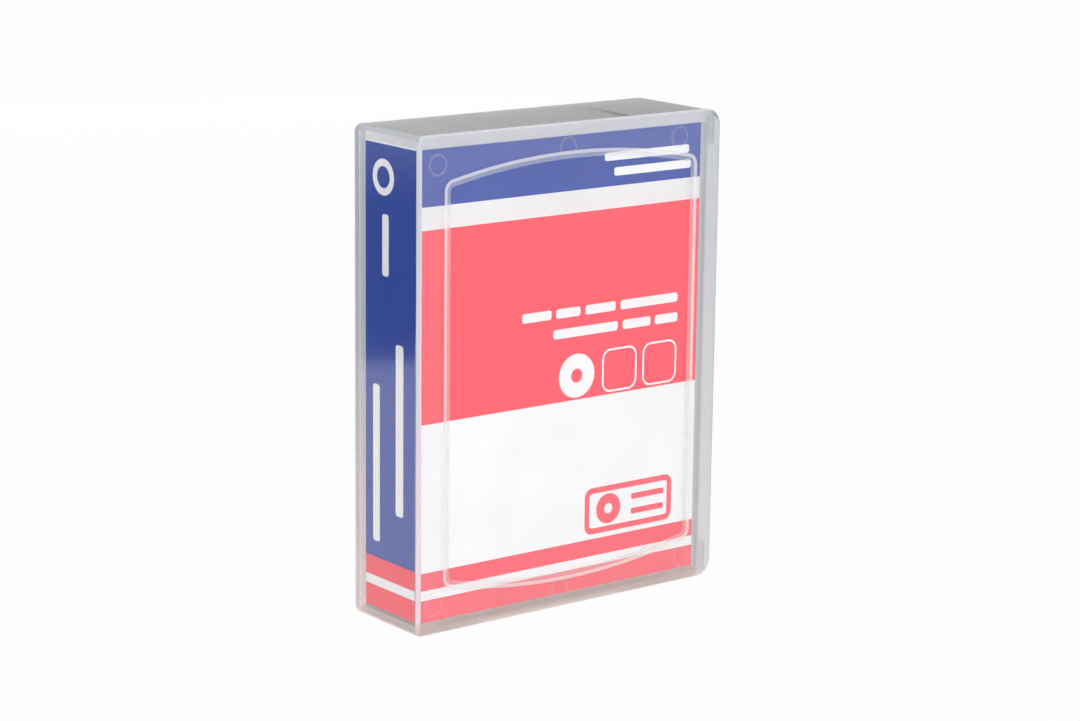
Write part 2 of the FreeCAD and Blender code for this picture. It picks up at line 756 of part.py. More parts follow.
# Four screws that pull the halves together from the back.
screws = []
for side in ("-", "+"):
    for height in ("boss_z1", "boss_z2"):
        tag = f"shell_screw_{len(screws)}"
        place = f"cart_x {side} boss_x"
        head = disc(tag + "_head", place, height, "screw_head_radius",
                    ("cart_back - screw_head_height", "cart_back"))
        shank = disc(tag + "_shank", place, height, "screw_radius",
                     ("split - screw_grip", "cart_back - screw_head_height"))
        screws.append(fuse(tag, head, shank))
node(group("shell_screw_set", screws), "shell_screws")

# Docking board, its row of contacts, and the flexible circuit up to the drive.
node(box("contact_board",
         ("cart_x - contact_board_width / 2", "cart_x + contact_board_width / 2"),
         ("board_front", "board_front + contact_board_thickness"),
         ("board_low", "board_top")), "connector_board")
fingers = []
for step in range(-11, 12):
    place = f"cart_x + {step} * contact_pitch"
    fingers.append(box(f"finger_{step + 11}",
                       (f"{place} - contact_width / 2", f"{place} + contact_width / 2"),
                       ("board_front - contact_thickness", "board_front"),
                       ("board_low + contact_thickness", "board_low + contact_length")))
node(group("finger_set", fingers), "contact_fingers")
node(box("socket_block",
         ("cart_x - plug_width / 2 - case_wall", "cart_x + plug_width / 2 + case_wall"),
         ("board_front", "board_front + socket_height"),
         ("drive_low - socket_length", "drive_low")), "drive_socket")
ribbon = doc.addObject("PartDesign::Body", "ribbon")
path = sketch(ribbon, "ribbon_path", "YZ", "cart_x")
loop = "(drive_low - socket_length + board_top) / 2"
wide = "((drive_low - socket_length - board_top) / 2)"
tight = f"({wide} - ribbon_thickness)"
outside = "board_front - ribbon_thickness"
outline(path, [
    (outside, "board_top - ribbon_lap"),
    ("board_front", "board_top - ribbon_lap"),
    ("board_front", f"{loop} - {tight}"),
    (outside, f"{loop} - {tight}"),
    (outside, f"{loop} + {tight}"),
    ("board_front", f"{loop} + {tight}"),
    ("board_front", "drive_low - socket_length + ribbon_lap"),
    (outside, "drive_low - socket_length + ribbon_lap"),
    (outside, f"{loop} + {wide}"),
    (outside, f"{loop} - {wide}"),
], {3: (1, f"1.1 * {tight}"), 8: (-1, f"1.1 * {wide}")})
bend = pad(ribbon, path, "ribbon_width")
bend.Midplane = True
node(ribbon, "flex_ribbon")

# Rubber blocks that float the drive by its corners.
bumpers = []
for side, inner, outer in (("left", "drive_left + bumper_grip", "room_left"),
                           ("right", "drive_right - bumper_grip", "room_right")):
    for end, near, far in (("low", "drive_low - bumper_end", "drive_low + bumper_run"),
                           ("top", "drive_top - bumper_run", "drive_top + bumper_end")):
        tag = f"bumper_{side}_{end}"
        across = (outer, inner) if side == "left" else (inner, outer)
        block = box(tag + "_block", across, ("room_front", "room_back"), (near, far))
        drive = box(tag + "_drive", ("drive_left", "drive_right"),
                    ("drive_front", "drive_back"), ("drive_low", "drive_top"))
        heads = box(tag + "_heads", ("drive_left", "drive_right"),
                    ("drive_front - 2 * lid_head_height", "drive_front"), ("drive_low", "drive_top"))
        bumpers.append(cut(tag, block, drive, heads))
node(group("bumper_set", bumpers), "corner_bumpers")

# Cast deck of the drive: a round well for the disks and a bay for the arm.
deck = doc.addObject("PartDesign::Body", "deck")
block = sketch(deck, "deck_outline", "XZ", "deck_front")
rectangle(block, ("drive_left", "drive_right"), ("drive_low", "drive_top"))
pad(deck, block, "deck_depth", away=True)
well = sketch(deck, "deck_well", "XZ", "deck_front")
circle(well, "cart_x", "spindle_z", "platter_radius + platter_clearance")
pocket(deck, well, "deck_depth - floor_thickness")
bay = sketch(deck, "deck_bay", "XZ", "deck_front")
bay_right = "cart_x + platter_radius + platter_clearance"
outline(bay, [
    ("cart_x - bay_left", "drive_low + bay_bottom"),
    (f"{bay_right} - bay_chamfer", "drive_low + bay_bottom"),
    (bay_right, "drive_low + bay_bottom + bay_chamfer"),
    (bay_right, "spindle_z"),
    ("cart_x - bay_left", "spindle_z"),
])
pocket(deck, bay, "deck_depth - floor_thickness")
sleeve = sketch(deck, "deck_sleeve", "XZ", "deck_floor")
circle(sleeve, "cart_x", "spindle_z", "sleeve_radius")
circle(sleeve, "cart_x", "spindle_z", "shaft_radius + running_gap")
pad(deck, sleeve, "stator_height")
node(deck, "drive_deck")

# Lid of the drive, the gasket that runs round inside its corner screws, and the screws.
node(box("lid_plate", ("drive_left", "drive_right"),
         ("drive_front", "drive_front + lid_sheet"), ("drive_low", "drive_top")), "drive_cover")
seal_depth = ("drive_front + lid_sheet", "deck_front")
seal = box("seal_block", ("drive_left", "drive_right"), seal_depth, ("drive_low", "drive_top"))
notch = "(lid_screw_inset + lid_head_radius)"
inset = f"({notch} + gasket_width)"
tools = [
    box("seal_wide", ("drive_left + deck_side_wall", "drive_right - deck_side_wall"),
        seal_depth, (f"drive_low + {inset}", f"drive_top - {inset}")),
    box("seal_tall", (f"drive_left + {inset}", f"drive_right - {inset}"),
        seal_depth, ("drive_low + gasket_width", "drive_top - gasket_width")),
]
screws = []
for x, outward in (("drive_left", "+"), ("drive_right", "-")):
    for z, upward in (("drive_low", "+"), ("drive_top", "-")):
        across = (x, f"{x} {outward} {notch}")
        along = (z, f"{z} {upward} {notch}")
        tools.append(box(f"seal_notch_{len(screws)}",
                         across if outward == "+" else across[::-1],
                         seal_depth,
                         along if upward == "+" else along[::-1]))
        screws.append(disc(f"lid_screw_{len(screws)}",
                           f"{x} {outward} lid_screw_inset", f"{z} {upward} lid_screw_inset",
                           "lid_head_radius", ("drive_front - lid_head_height", "drive_front")))
node(cut("seal_cut", seal, *tools), "cover_gasket")
node(group("lid_screw_set", screws), "cover_screws")

# Turning disk stack: a cup-shaped hub, two disks, the ring between them and the clamp.
hub_outer = "platter_bore - running_gap / 2"
hub = fuse("hub_solid",
           disc("hub_barrel", "cart_x", "spindle_z", hub_outer, ("upper_front", "lower_back")),
           disc("hub_flange", "cart_x", "spindle_z", "platter_bore + clamp_rim", ("lower_back", "flange_back")))
hollow = disc("hub_hollow", "cart_x", "spindle_z", "platter_bore - hub_wall",
              ("deck_floor - stator_height - 2 * running_gap", "flange_back"))
shaft = disc("hub_shaft", "cart_x", "spindle_z", "shaft_radius",
             ("deck_floor - stator_height - 2 * running_gap", "deck_floor - running_gap"))
node(fuse("hub_whole", cut("hub_cup", hub, hollow), shaft), "spindle_hub")
node(ring("lower_disk", "cart_x", "spindle_z", "platter_radius", "platter_bore",
          ("lower_front", "lower_back")), "platter_lower")
node(ring("disk_ring", "cart_x", "spindle_z", "platter_bore + clamp_rim", "platter_bore",
          ("upper_back", "lower_front")), "platter_spacer")
node(ring("upper_disk", "cart_x", "spindle_z", "platter_radius", "platter_bore",
          ("upper_front", "upper_back")), "platter_upper")
node(disc("clamp_disc", "cart_x", "spindle_z", "platter_bore + clamp_rim",
          ("clamp_front", "upper_front")), "platter_clamp")
node(disc("clamp_bolt", "cart_x", "spindle_z", "clamp_screw_radius",
          ("clamp_front - clamp_head", "clamp_front")), "clamp_screw")
node(ring("stator_ring", "cart_x", "spindle_z", "platter_bore - hub_wall - 2 * running_gap", "sleeve_radius + running_gap / 2",
          ("deck_floor - stator_height + running_gap", "deck_floor")), "motor_stator")

# Pin that the head arm turns on.
node(disc("pivot_pin", "pivot_x", "pivot_z", "pivot_radius",
          ("deck_front + running_gap", "deck_floor")), "pivot_post")


def turn_on_pivot(piece, angle):
    """Place a piece drawn along +X from the pivot at an angle up from +X."""
    piece.Placement = FreeCAD.Placement(
        FreeCAD.Vector(), FreeCAD.Rotation(FreeCAD.Vector(0, -1, 0), value(angle)))
    bind(piece, "Placement.Rotation.Angle", angle)
    bind(piece, "Placement.Base.x", "pivot_x")
    bind(piece, "Placement.Base.z", "pivot_z")


# Head arm: a barrel on the pivot, three plates between the disks and a fork for the coil.
arm = doc.addObject("PartDesign::Body", "arm")
barrel = sketch(arm, "arm_barrel", "XZ", "arm_upper - arm_thickness / 2")
circle(barrel, "0", "0", "barrel_radius")
pad(arm, barrel, "arm_lower - arm_upper + arm_thickness", away=True)
for level in ("arm_lower", "arm_middle", "arm_upper"):
    blade = sketch(arm, level + "_blade", "XZ", f"{level} - arm_thickness / 2")
    outline(blade, [("0", "-arm_root"), ("arm_plate", "-arm_tip"), ("arm_plate", "arm_tip"), ("0", "arm_root")])
    pad(arm, blade, "arm_thickness", away=True)
fork = sketch(arm, "arm_fork", "XZ", "arm_middle - coil_thickness / 2")
outline(fork, [
    ("0", "coil_root + fork_rim"),
    ("-coil_outer - fork_rim", "coil_end + fork_rim"),
    ("-coil_outer - fork_rim", "-coil_end - fork_rim"),
    ("0", "-coil_root - fork_rim"),
])
pad(arm, fork, "coil_thickness", away=True)
seat = sketch(arm, "arm_coil_seat", "XZ", "arm_middle - coil_thickness / 2")
outline(seat, [
    ("-coil_inner", "coil_root"),
    ("-coil_outer", "coil_end"),
    ("-coil_outer", "-coil_end"),
    ("-coil_inner", "-coil_root"),
])
pocket(arm, seat, "coil_thickness")
bore = sketch(arm, "arm_bore", "XZ", "arm_upper - arm_thickness / 2")
circle(bore, "0", "0", "pivot_radius + running_gap")
pocket(arm, bore, "arm_lower - arm_upper + arm_thickness")
turn_on_pivot(arm, "arm_angle")
node(arm, "actuator_arm")

# Wound coil in the fork.
coil = doc.addObject("PartDesign::Body", "coil")
winding = sketch(coil, "coil_outline", "XZ", "arm_middle - coil_thickness / 2")
outline(winding, [
    ("-coil_inner", "coil_root"),
    ("-coil_outer", "coil_end"),
    ("-coil_outer", "-coil_end"),
    ("-coil_inner", "-coil_root"),
])
pad(coil, winding, "coil_thickness", away=True)
eye = sketch(coil, "coil_eye", "XZ", "arm_middle - coil_thickness / 2")
outline(eye, [
    ("-coil_inner - coil_wire", "coil_root - coil_wire"),
    ("-coil_outer + coil_wire", "coil_end - coil_wire"),
    ("-coil_outer + coil_wire", "-coil_end + coil_wire"),
    ("-coil_inner - coil_wire", "-coil_root + coil_wire"),
])
pocket(coil, eye, "coil_thickness")
turn_on_pivot(coil, "arm_angle")
node(coil, "voice_coil")

# Four sprung head carriers, each with its slider.
carriers = []
for number, (level, side) in enumerate((("arm_upper", 1), ("arm_middle", -1), ("arm_middle", 1), ("arm_lower", -1))):
    face = f"{level} + {side} * arm_thickness / 2"
    spring_far = f"{face} + {side} * spring_thickness"
    slider_far = f"{spring_far} + {side} * slider_height"
    flat = (face, spring_far) if side > 0 else (spring_far, face)
    thick = (spring_far, slider_far) if side > 0 else (slider_far, spring_far)
    spring = box(f"spring_{number}", ("spring_start", "spring_end"), flat, ("-spring_width / 2", "spring_width / 2"))
    slider = box(f"slider_{number}", ("arm_reach - spring_width / 2", "arm_reach"), thick,
                 ("-spring_width / 3", "spring_width / 3"))
    carriers.append(fuse(f"carrier_{number}", spring, slider))
suspensions = group("carrier_set", carriers)
turn_on_pivot(suspensions, "arm_angle")
node(suspensions, "head_suspensions")

# Magnets above and below the coil, each on its plate.
yoke_corners = [("yoke_inner", "yoke_root"), ("yoke_outer", "yoke_end"),
                ("yoke_outer", "-yoke_end"), ("yoke_inner", "-yoke_root")]
plates = {}
for name, near, far in (
        ("upper_magnet", "arm_middle - coil_thickness / 2 - magnet_gap - magnet_thickness",
         "arm_middle - coil_thickness / 2 - magnet_gap"),
        ("lower_magnet", "arm_middle + coil_thickness / 2 + magnet_gap",
         "arm_middle + coil_thickness / 2 + magnet_gap + magnet_thickness"),
        ("upper_yoke", "arm_middle - coil_thickness / 2 - magnet_gap - magnet_thickness - yoke_thickness",
         "arm_middle - coil_thickness / 2 - magnet_gap - magnet_thickness"),
        ("lower_yoke", "arm_middle + coil_thickness / 2 + magnet_gap + magnet_thickness", "deck_floor")):
    plates[name] = doc.addObject("PartDesign::Body", name)
    profile = sketch(plates[name], name + "_outline", "XZ", near)
    outline(profile, yoke_corners)
    pad(plates[name], profile, f"({far}) - ({near})", away=True)
    turn_on_pivot(plates[name], "arm_angle - swing_half * 1 deg + 180 deg")
node(plates["lower_yoke"], "magnet_plate_lower")
node(plates["upper_yoke"], "magnet_plate_upper")
node(group("magnet_pair", [plates["lower_magnet"], plates["upper_magnet"]]), "voice_magnets")

# Comb that the head tips rest in, clear of the disks.
comb = box("ramp_block", ("arm_reach + tab_length / 2", "arm_reach + tab_length / 2 + ramp_length"),
           ("arm_upper", "deck_floor"), ("-spring_width", "spring_width / 2"))
slots = []
for number, (level, side) in enumerate((("arm_upper", 1), ("arm_middle", -1), ("arm_middle", 1), ("arm_lower", -1))):
    middle = f"{level} + {side} * (arm_thickness + spring_thickness) / 2"
    slots.append(box(f"ramp_slot_{number}",
                     ("arm_reach", "arm_reach + tab_length + ramp_gap"),
                     (f"{middle} - spring_thickness / 2 - ramp_gap", f"{middle} + spring_thickness / 2 + ramp_gap"),
                     ("-2 * spring_width", "2 * spring_width")))
ramp = cut("ramp_comb", comb, *slots)
turn_on_pivot(ramp, "arm_angle")
node(ramp, "parking_ramp")

# Circuit board under the deck, with its chips, screws and plug.
node(box("board_plate", ("drive_left + board_inset", "drive_right - board_inset"),
         ("deck_back + board_gap", "board_back"),
         ("drive_low + plug_length", "spindle_z - platter_bore")), "drive_board")
chip_depth = ("board_back", "board_back + chip_height")
chips = [
    box("chip_main_body", ("cart_x - chip_main / 2", "cart_x + chip_main / 2"),
        chip_depth, ("pivot_z", "pivot_z + chip_main")),
    box("chip_memory", ("cart_x + chip_main / 2 + chip_gap", "cart_x + chip_main / 2 + chip_gap + chip_small"),
        chip_depth, ("pivot_z", "pivot_z + chip_small")),
    box("chip_motor", ("cart_x - chip_main / 2 - chip_gap - chip_small", "cart_x - chip_main / 2 - chip_gap"),
        chip_depth, ("pivot_z", "pivot_z + chip_small")),
]
node(group("chip_set", chips), "drive_chips")
node(box("plug_block", ("cart_x - plug_width / 2", "cart_x + plug_width / 2"),
         ("deck_back", "deck_back + board_gap + board_thickness"),
         ("drive_low", "drive_low + plug_length")), "drive_plug")
screws = []
for x, z in (("drive_left + board_inset + lid_screw_inset", "spindle_z - platter_bore - lid_screw_inset"),
             ("drive_right - board_inset - lid_screw_inset", "spindle_z - platter_bore - lid_screw_inset"),
             ("drive_right - board_inset - lid_screw_inset", "drive_low + plug_length + lid_screw_inset")):
    screws.append(disc(f"board_screw_{len(screws)}", x, z, "lid_head_radius", chip_depth))
node(group("board_screw_set", screws), "board_screws")

doc.recompute()
faults = [item.Name for item in doc.Objects if {"Invalid", "Error"} & set(item.State)]
faults += [piece.Label for piece in ALL_NODES if piece.Shape.isNull() or not piece.Shape.isValid()]
if faults:
    raise RuntimeError("not built: " + ", ".join(faults))
os.makedirs("parts", exist_ok=True)
for piece in ALL_NODES:
    piece.Shape.exportStep(f"parts/{piece.Label}.step")
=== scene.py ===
"""A removable disk cartridge in its hinged storage case, dressed and lit for a studio picture."""
import bpy
import math
from mathutils import Matrix, Vector


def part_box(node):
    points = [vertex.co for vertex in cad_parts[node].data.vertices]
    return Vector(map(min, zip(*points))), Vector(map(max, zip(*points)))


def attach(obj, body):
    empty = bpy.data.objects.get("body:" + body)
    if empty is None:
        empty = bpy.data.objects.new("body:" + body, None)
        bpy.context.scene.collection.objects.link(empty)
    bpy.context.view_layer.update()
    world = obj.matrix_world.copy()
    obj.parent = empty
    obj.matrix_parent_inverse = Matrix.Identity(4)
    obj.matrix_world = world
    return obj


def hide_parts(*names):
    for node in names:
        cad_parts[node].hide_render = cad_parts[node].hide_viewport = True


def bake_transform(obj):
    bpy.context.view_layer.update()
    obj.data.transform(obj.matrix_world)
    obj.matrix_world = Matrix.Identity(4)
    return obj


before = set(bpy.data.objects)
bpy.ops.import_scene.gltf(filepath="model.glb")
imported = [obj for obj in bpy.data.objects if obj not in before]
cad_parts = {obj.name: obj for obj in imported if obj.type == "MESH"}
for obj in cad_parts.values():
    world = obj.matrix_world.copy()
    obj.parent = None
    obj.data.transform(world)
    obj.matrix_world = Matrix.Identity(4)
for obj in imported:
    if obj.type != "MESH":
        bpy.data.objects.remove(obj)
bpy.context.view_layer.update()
bpy.context.scene.view_settings.view_transform = "Standard"


# The drive's deck is a die-cast aluminium tray, milled where the lid and the disks sit.
# Its skin is slightly mottled from the die, and it carries every other part of the drive.
def add_node(tree, kind, values=None, **settings):
    """A node with its settings and its plain socket values."""
    new = tree.nodes.new(kind)
    for setting, wanted in settings.items():
        setattr(new, setting, wanted)
    for socket, wanted in (values or {}).items():
        new.inputs[socket].default_value = wanted
    return new


def grain_group():
    """Fine grain for a bump, and a broad drift of tone, both in millimetres across the surface."""
    group = bpy.data.node_groups.new("surface_grain", "ShaderNodeTree")
    for label, kind, start in (
        ("Grain per mm", "NodeSocketFloat", 2.0),
        ("Drift per mm", "NodeSocketFloat", 0.05),
        ("Stretch", "NodeSocketVector", (1.0, 1.0, 1.0)),
    ):
        socket = group.interface.new_socket(label, in_out="INPUT", socket_type=kind)
        socket.default_value = start
    for label in ("Height", "Tone"):
        group.interface.new_socket(label, in_out="OUTPUT", socket_type="NodeSocketFloat")
    given = group.nodes.new("NodeGroupInput")
    put_out = group.nodes.new("NodeGroupOutput")
    place = add_node(group, "ShaderNodeTexCoord")
    stretched = add_node(group, "ShaderNodeVectorMath", operation="MULTIPLY")
    group.links.new(place.outputs["Object"], stretched.inputs[0])
    group.links.new(given.outputs["Stretch"], stretched.inputs[1])
    for rate, detail, label in (("Grain per mm", 3.0, "Height"), ("Drift per mm", 4.0, "Tone")):
        per_metre = add_node(group, "ShaderNodeMath", {1: 1000.0}, operation="MULTIPLY")
        noise = add_node(group, "ShaderNodeTexNoise", {"Detail": detail, "Roughness": 0.55})
        group.links.new(given.outputs[rate], per_metre.inputs[0])
        group.links.new(per_metre.outputs[0], noise.inputs["Scale"])
        group.links.new(stretched.outputs[0], noise.inputs["Vector"])
        group.links.new(noise.outputs["Fac"], put_out.inputs[label])
    return group


surface_grain = grain_group()


def new_material(name):
    """A material with its node tree and its shader."""
    material = bpy.data.materials.new(name)
    material.use_nodes = True
    return material, material.node_tree, material.node_tree.nodes["Principled BSDF"]


def map_range(tree, value, start, end, low=0.0, high=1.0):
    """A value stretched from one range to another, and held at its ends."""
    stretch = add_node(
        tree,
        "ShaderNodeMapRange",
        {"From Min": start, "From Max": end, "To Min": low, "To Max": high},
    )
    tree.links.new(value, stretch.inputs["Value"])
    return stretch.outputs["Result"]


def mix_colours(tree, share, first, second, how="MIX"):
    """From the first colour to the second as the share rises. The first may be a link.

    The colour sockets of a Mix node go by number, because its other sockets share their names.
    """
    first_socket, second_socket, result = 6, 7, 2
    mix = add_node(tree, "ShaderNodeMix", data_type="RGBA", blend_type=how)
    tree.links.new(share, mix.inputs[0])
    if isinstance(first, tuple):
        mix.inputs[first_socket].default_value = (*first, 1)
    else:
        tree.links.new(first, mix.inputs[first_socket])
    mix.inputs[second_socket].default_value = (*second, 1)
    return mix.outputs[result]


def lay_grain(tree, grain, stretch, rough, bump, drift, strength):
    """Roughness and bump from the grain. What comes back is its drift of tone."""
    skin = add_node(
        tree,
        "ShaderNodeGroup",
        {"Grain per mm": grain, "Drift per mm": drift, "Stretch": stretch},
        node_tree=surface_grain,
    )
    shader = tree.nodes["Principled BSDF"]
    relief = add_node(tree, "ShaderNodeBump", {"Strength": strength, "Distance": bump / 1000})
    gloss = map_range(
        tree, skin.outputs["Height"], start=0.3, end=0.7, low=rough[0], high=rough[1]
    )
    tree.links.new(gloss, shader.inputs["Roughness"])
    tree.links.new(skin.outputs["Height"], relief.inputs["Height"])
    tree.links.new(relief.outputs["Normal"], shader.inputs["Normal"])
    return skin.outputs["Tone"]


def finish(
    name, light, dark, rough, metal=0.0, grain=2.0, stretch=(1, 1, 1), bump=0.02, shine=0.5
):
    """A material that drifts between two tones and two roughnesses, with a fine grain."""
    material, tree, shader = new_material(name)
    shader.inputs["Metallic"].default_value = metal
    shader.inputs["Specular IOR Level"].default_value = shine
    tone = lay_grain(tree, grain, stretch, rough, bump, drift=0.05, strength=0.5)
    spread = map_range(tree, tone, start=0.35, end=0.65)
    colour = mix_colours(tree, spread, dark, light)
    tree.links.new(colour, shader.inputs["Base Color"])
    return material


def dress_node(material, *nodes):
    """The material on every slot of these solids."""
    for node in nodes:
        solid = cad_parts[node]
        solid.data.materials.clear()
        solid.data.materials.append(material)


cast_aluminium = finish(
    "cast_aluminium", (0.66, 0.67, 0.68), (0.52, 0.53, 0.54), (0.38, 0.52),
    metal=1.0, grain=1.6, bump=0.03,
)
dress_node(cast_aluminium, "drive_deck")


# The disks are polished glass plates under a dark mirror film, held on the motor's hub by a
# spacer and a clamp ring with one screw; the stator below the hub carries the motor's windings.
mirror_film = finish(
    "mirror_film", (0.60, 0.59, 0.58), (0.55, 0.54, 0.53), (0.04, 0.08),
    metal=1.0, grain=6.0, bump=0.001,
)
turned_steel = finish(
    "turned_steel", (0.70, 0.70, 0.71), (0.58, 0.58, 0.60), (0.22, 0.34),
    metal=1.0, grain=5.0, bump=0.006,
)
dress_node(mirror_film, "platter_lower", "platter_upper")
dress_node(turned_steel, "spindle_hub", "platter_spacer", "platter_clamp", "clamp_screw")
dress_node(turned_steel, "motor_stator")


# The head arm is milled aluminium on a steel post, with a copper coil glued in its tail and
# thin spring steel suspensions at its tips; they park on a white moulded ramp.
milled_aluminium = finish(
    "milled_aluminium", (0.74, 0.75, 0.76), (0.62, 0.63, 0.64), (0.24, 0.36),
    metal=1.0, grain=4.0, stretch=(0.2, 1, 1), bump=0.008,
)
coil_copper = finish(
    "coil_copper", (0.80, 0.42, 0.22), (0.58, 0.28, 0.14), (0.28, 0.42),
    metal=1.0, grain=7.0, bump=0.02,
)
ramp_white = finish(
    "ramp_white", (0.86, 0.85, 0.81), (0.80, 0.79, 0.75), (0.35, 0.45), grain=3.0
)
dress_node(milled_aluminium, "actuator_arm")
dress_node(turned_steel, "pivot_post", "head_suspensions")
dress_node(coil_copper, "voice_coil")
dress_node(ramp_white, "parking_ramp")


# Two plates of nickel-plated steel hold the magnets on either side of the coil. They are
# stamped from thick sheet, and the lower one is fixed to the deck.
nickel_plate = finish(
    "nickel_plate", (0.76, 0.73, 0.67), (0.64, 0.61, 0.56), (0.16, 0.28),
    metal=1.0, grain=3.0, bump=0.01,
)
dress_node(nickel_plate, "magnet_plate_lower", "magnet_plate_upper", "voice_magnets")


# The lid is pressed from stainless steel sheet with a brushed face. It closes the drive over
# a foam gasket and is held by small dark screws along its edge.
brushed_lid = finish(
    "brushed_lid", (0.72, 0.73, 0.74), (0.61, 0.62, 0.63), (0.24, 0.40),
    metal=1.0, grain=2.4, stretch=(0.05, 1, 1), bump=0.008,
)
gasket_foam = finish(
    "gasket_foam", (0.030, 0.030, 0.032), (0.016, 0.016, 0.018), (0.75, 0.95),
    grain=3.5, bump=0.08,
)
screw_steel = finish(
    "screw_steel", (0.30, 0.30, 0.31), (0.20, 0.20, 0.21), (0.24, 0.38),
    metal=1.0, grain=5.0, bump=0.01,
)
dress_node(brushed_lid, "drive_cover")
dress_node(gasket_foam, "cover_gasket")
dress_node(screw_steel, "cover_screws", "board_screws")


# The circuit board under the deck is glass laminate under green solder mask, with moulded chips
# soldered on it and a black plug on its short edge.
solder_mask = finish(
    "solder_mask", (0.022, 0.135, 0.060), (0.014, 0.095, 0.042), (0.26, 0.38),
    grain=2.0, bump=0.02,
)
chip_resin = finish(
    "chip_resin", (0.034, 0.035, 0.037), (0.022, 0.023, 0.025), (0.48, 0.62),
    grain=5.0, bump=0.02,
)
socket_black = finish(
    "socket_black", (0.030, 0.030, 0.032), (0.020, 0.020, 0.022), (0.36, 0.48),
    grain=3.0, bump=0.02,
)
dress_node(solder_mask, "drive_board", "connector_board")
dress_node(chip_resin, "drive_chips")
dress_node(socket_black, "drive_plug", "drive_socket")


# Soft rubber corners hold the drive in the cartridge, and a film ribbon joins it to the
# cartridge's own edge board with its row of gold contacts.
bumper_rubber = finish(
    "bumper_rubber", (0.042, 0.043, 0.046), (0.026, 0.027, 0.029), (0.62, 0.80),
    grain=2.5, bump=0.04,
)
ribbon_film = finish(
    "ribbon_film", (0.58, 0.27, 0.06), (0.46, 0.20, 0.04), (0.22, 0.32),
    grain=2.0, stretch=(1, 1, 0.1),
)
contact_gold = finish(
    "contact_gold", (0.92, 0.68, 0.28), (0.80, 0.56, 0.20), (0.14, 0.26),
    metal=1.0, grain=5.0, bump=0.004,
)
dress_node(bumper_rubber, "corner_bumpers")
dress_node(ribbon_film, "flex_ribbon")
dress_node(contact_gold, "contact_fingers")


# The cartridge is two black moulded shells with a fine spark-eroded skin, closed by four screws.
# An amber tab slides in a slot of its grip end to protect what is written on the disks.
def merged_copy(name, node):
    """A copy of a solid's mesh with its facets joined up, ready to be worked on."""
    bpy.ops.object.select_all(action="DESELECT")
    piece = bpy.data.objects.new(name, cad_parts[node].data.copy())
    bpy.context.scene.collection.objects.link(piece)
    piece.select_set(True)
    bpy.context.view_layer.objects.active = piece
    piece.data.materials.clear()
    bpy.ops.mesh.customdata_custom_splitnormals_clear()
    bpy.ops.object.mode_set(mode="EDIT")
    bpy.ops.mesh.select_all(action="SELECT")
    bpy.ops.mesh.remove_doubles(threshold=0.000002)
    bpy.ops.mesh.dissolve_limited(angle_limit=math.radians(0.3))
    bpy.ops.object.mode_set(mode="OBJECT")
    bpy.ops.object.shade_smooth()
    return piece


def soften(piece, rounding):
    """Rounds the sharp edges, as a mould does."""
    edges = piece.modifiers.new("edges", "BEVEL")
    edges.width = rounding / 1000
    edges.segments = 2
    edges.limit_method = "ANGLE"
    edges.angle_limit = math.radians(20)
    bpy.ops.object.modifier_apply(modifier="edges")


def set_in_place(piece, body, node):
    """Keeps the flats flat beside the rounded edges, and puts the piece in the solid's place."""
    flats = piece.modifiers.new("flats", "WEIGHTED_NORMAL")
    flats.keep_sharp = True
    bpy.ops.object.modifier_apply(modifier="flats")
    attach(piece, body)
    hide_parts(node)


shell_black = finish(
    "shell_black", (0.028, 0.029, 0.032), (0.024, 0.025, 0.028), (0.42, 0.58),
    grain=2.2, bump=0.05,
)
tab_amber = finish(
    "tab_amber", (0.75, 0.48, 0.08), (0.66, 0.40, 0.06), (0.34, 0.46), grain=2.2, bump=0.03
)
for name, node, body, rounding, skin in (
    ("cartridge_front_moulding", "cartridge_front_shell", "tray", 0.25, shell_black),
    ("cartridge_back_moulding", "cartridge_back_shell", "tray", 0.25, shell_black),
    ("write_protect_tab", "write_protect_slider", "write_tab", 0.12, tab_amber),
):
    piece = merged_copy(name, node)
    piece.data.materials.append(skin)
    soften(piece, rounding)
    set_in_place(piece, body, node)
dress_node(screw_steel, "shell_screws")


# The case is one moulding of natural polypropylene: a tray, a spine and a cover on two living
# hinges. The tray is its deep half, milky at the back and the right and painted a darker grey
# elsewhere, a painted shade; a line of painted shade marks the crease where a ramp starts.
def rise_between(tree, start, end, high=1.0):
    """A value that rises from nothing between two heights, in millimetres."""
    place = add_node(tree, "ShaderNodeTexCoord")
    level = add_node(tree, "ShaderNodeSeparateXYZ")
    tree.links.new(place.outputs["Object"], level.inputs[0])
    return map_range(tree, level.outputs["Z"], start / 1000, end / 1000, high=high)


def mix_shaders(tree, share, first, second, output):
    """The first shader, giving way to the second as the share rises, at the tree's output."""
    both = add_node(tree, "ShaderNodeMixShader")
    tree.links.new(share, both.inputs[0])
    tree.links.new(first.outputs[0], both.inputs[1])
    tree.links.new(second.outputs[0], both.inputs[2])
    tree.links.new(both.outputs[0], tree.nodes[output].inputs["Surface"])


def frosted_plastic(name, head, foot, haze, rough, grain=1.5, bump=0.006, rise=(10, 70)):
    """Polypropylene that lets light through: haze is the share that its milkiness scatters back.

    Its tint goes from the foot to the head, and this is painted light and shade: the glow of the
    cards in the plastic, and ends painted lighter or darker as the light falls on them.
    """
    even, faint_cloud, clear_tint = (1, 1, 1), (0.95, 0.95, 0.95), (0.97, 0.97, 0.97, 1)
    material, tree, shader = new_material(name)
    shader.inputs["Transmission Weight"].default_value = 1.0 - haze
    shader.inputs["IOR"].default_value = 1.49
    tone = lay_grain(tree, grain, even, rough, bump, drift=0.04, strength=0.4)
    tint = mix_colours(tree, rise_between(tree, *rise), foot, head)
    clouded = mix_colours(tree, tone, tint, faint_cloud, how="MULTIPLY")
    tree.links.new(clouded, shader.inputs["Base Color"])
    rays = add_node(tree, "ShaderNodeLightPath")
    clear = add_node(tree, "ShaderNodeBsdfTransparent", {"Color": clear_tint})
    mix_shaders(tree, rays.outputs["Is Shadow Ray"], shader, clear, "Material Output")
    return material


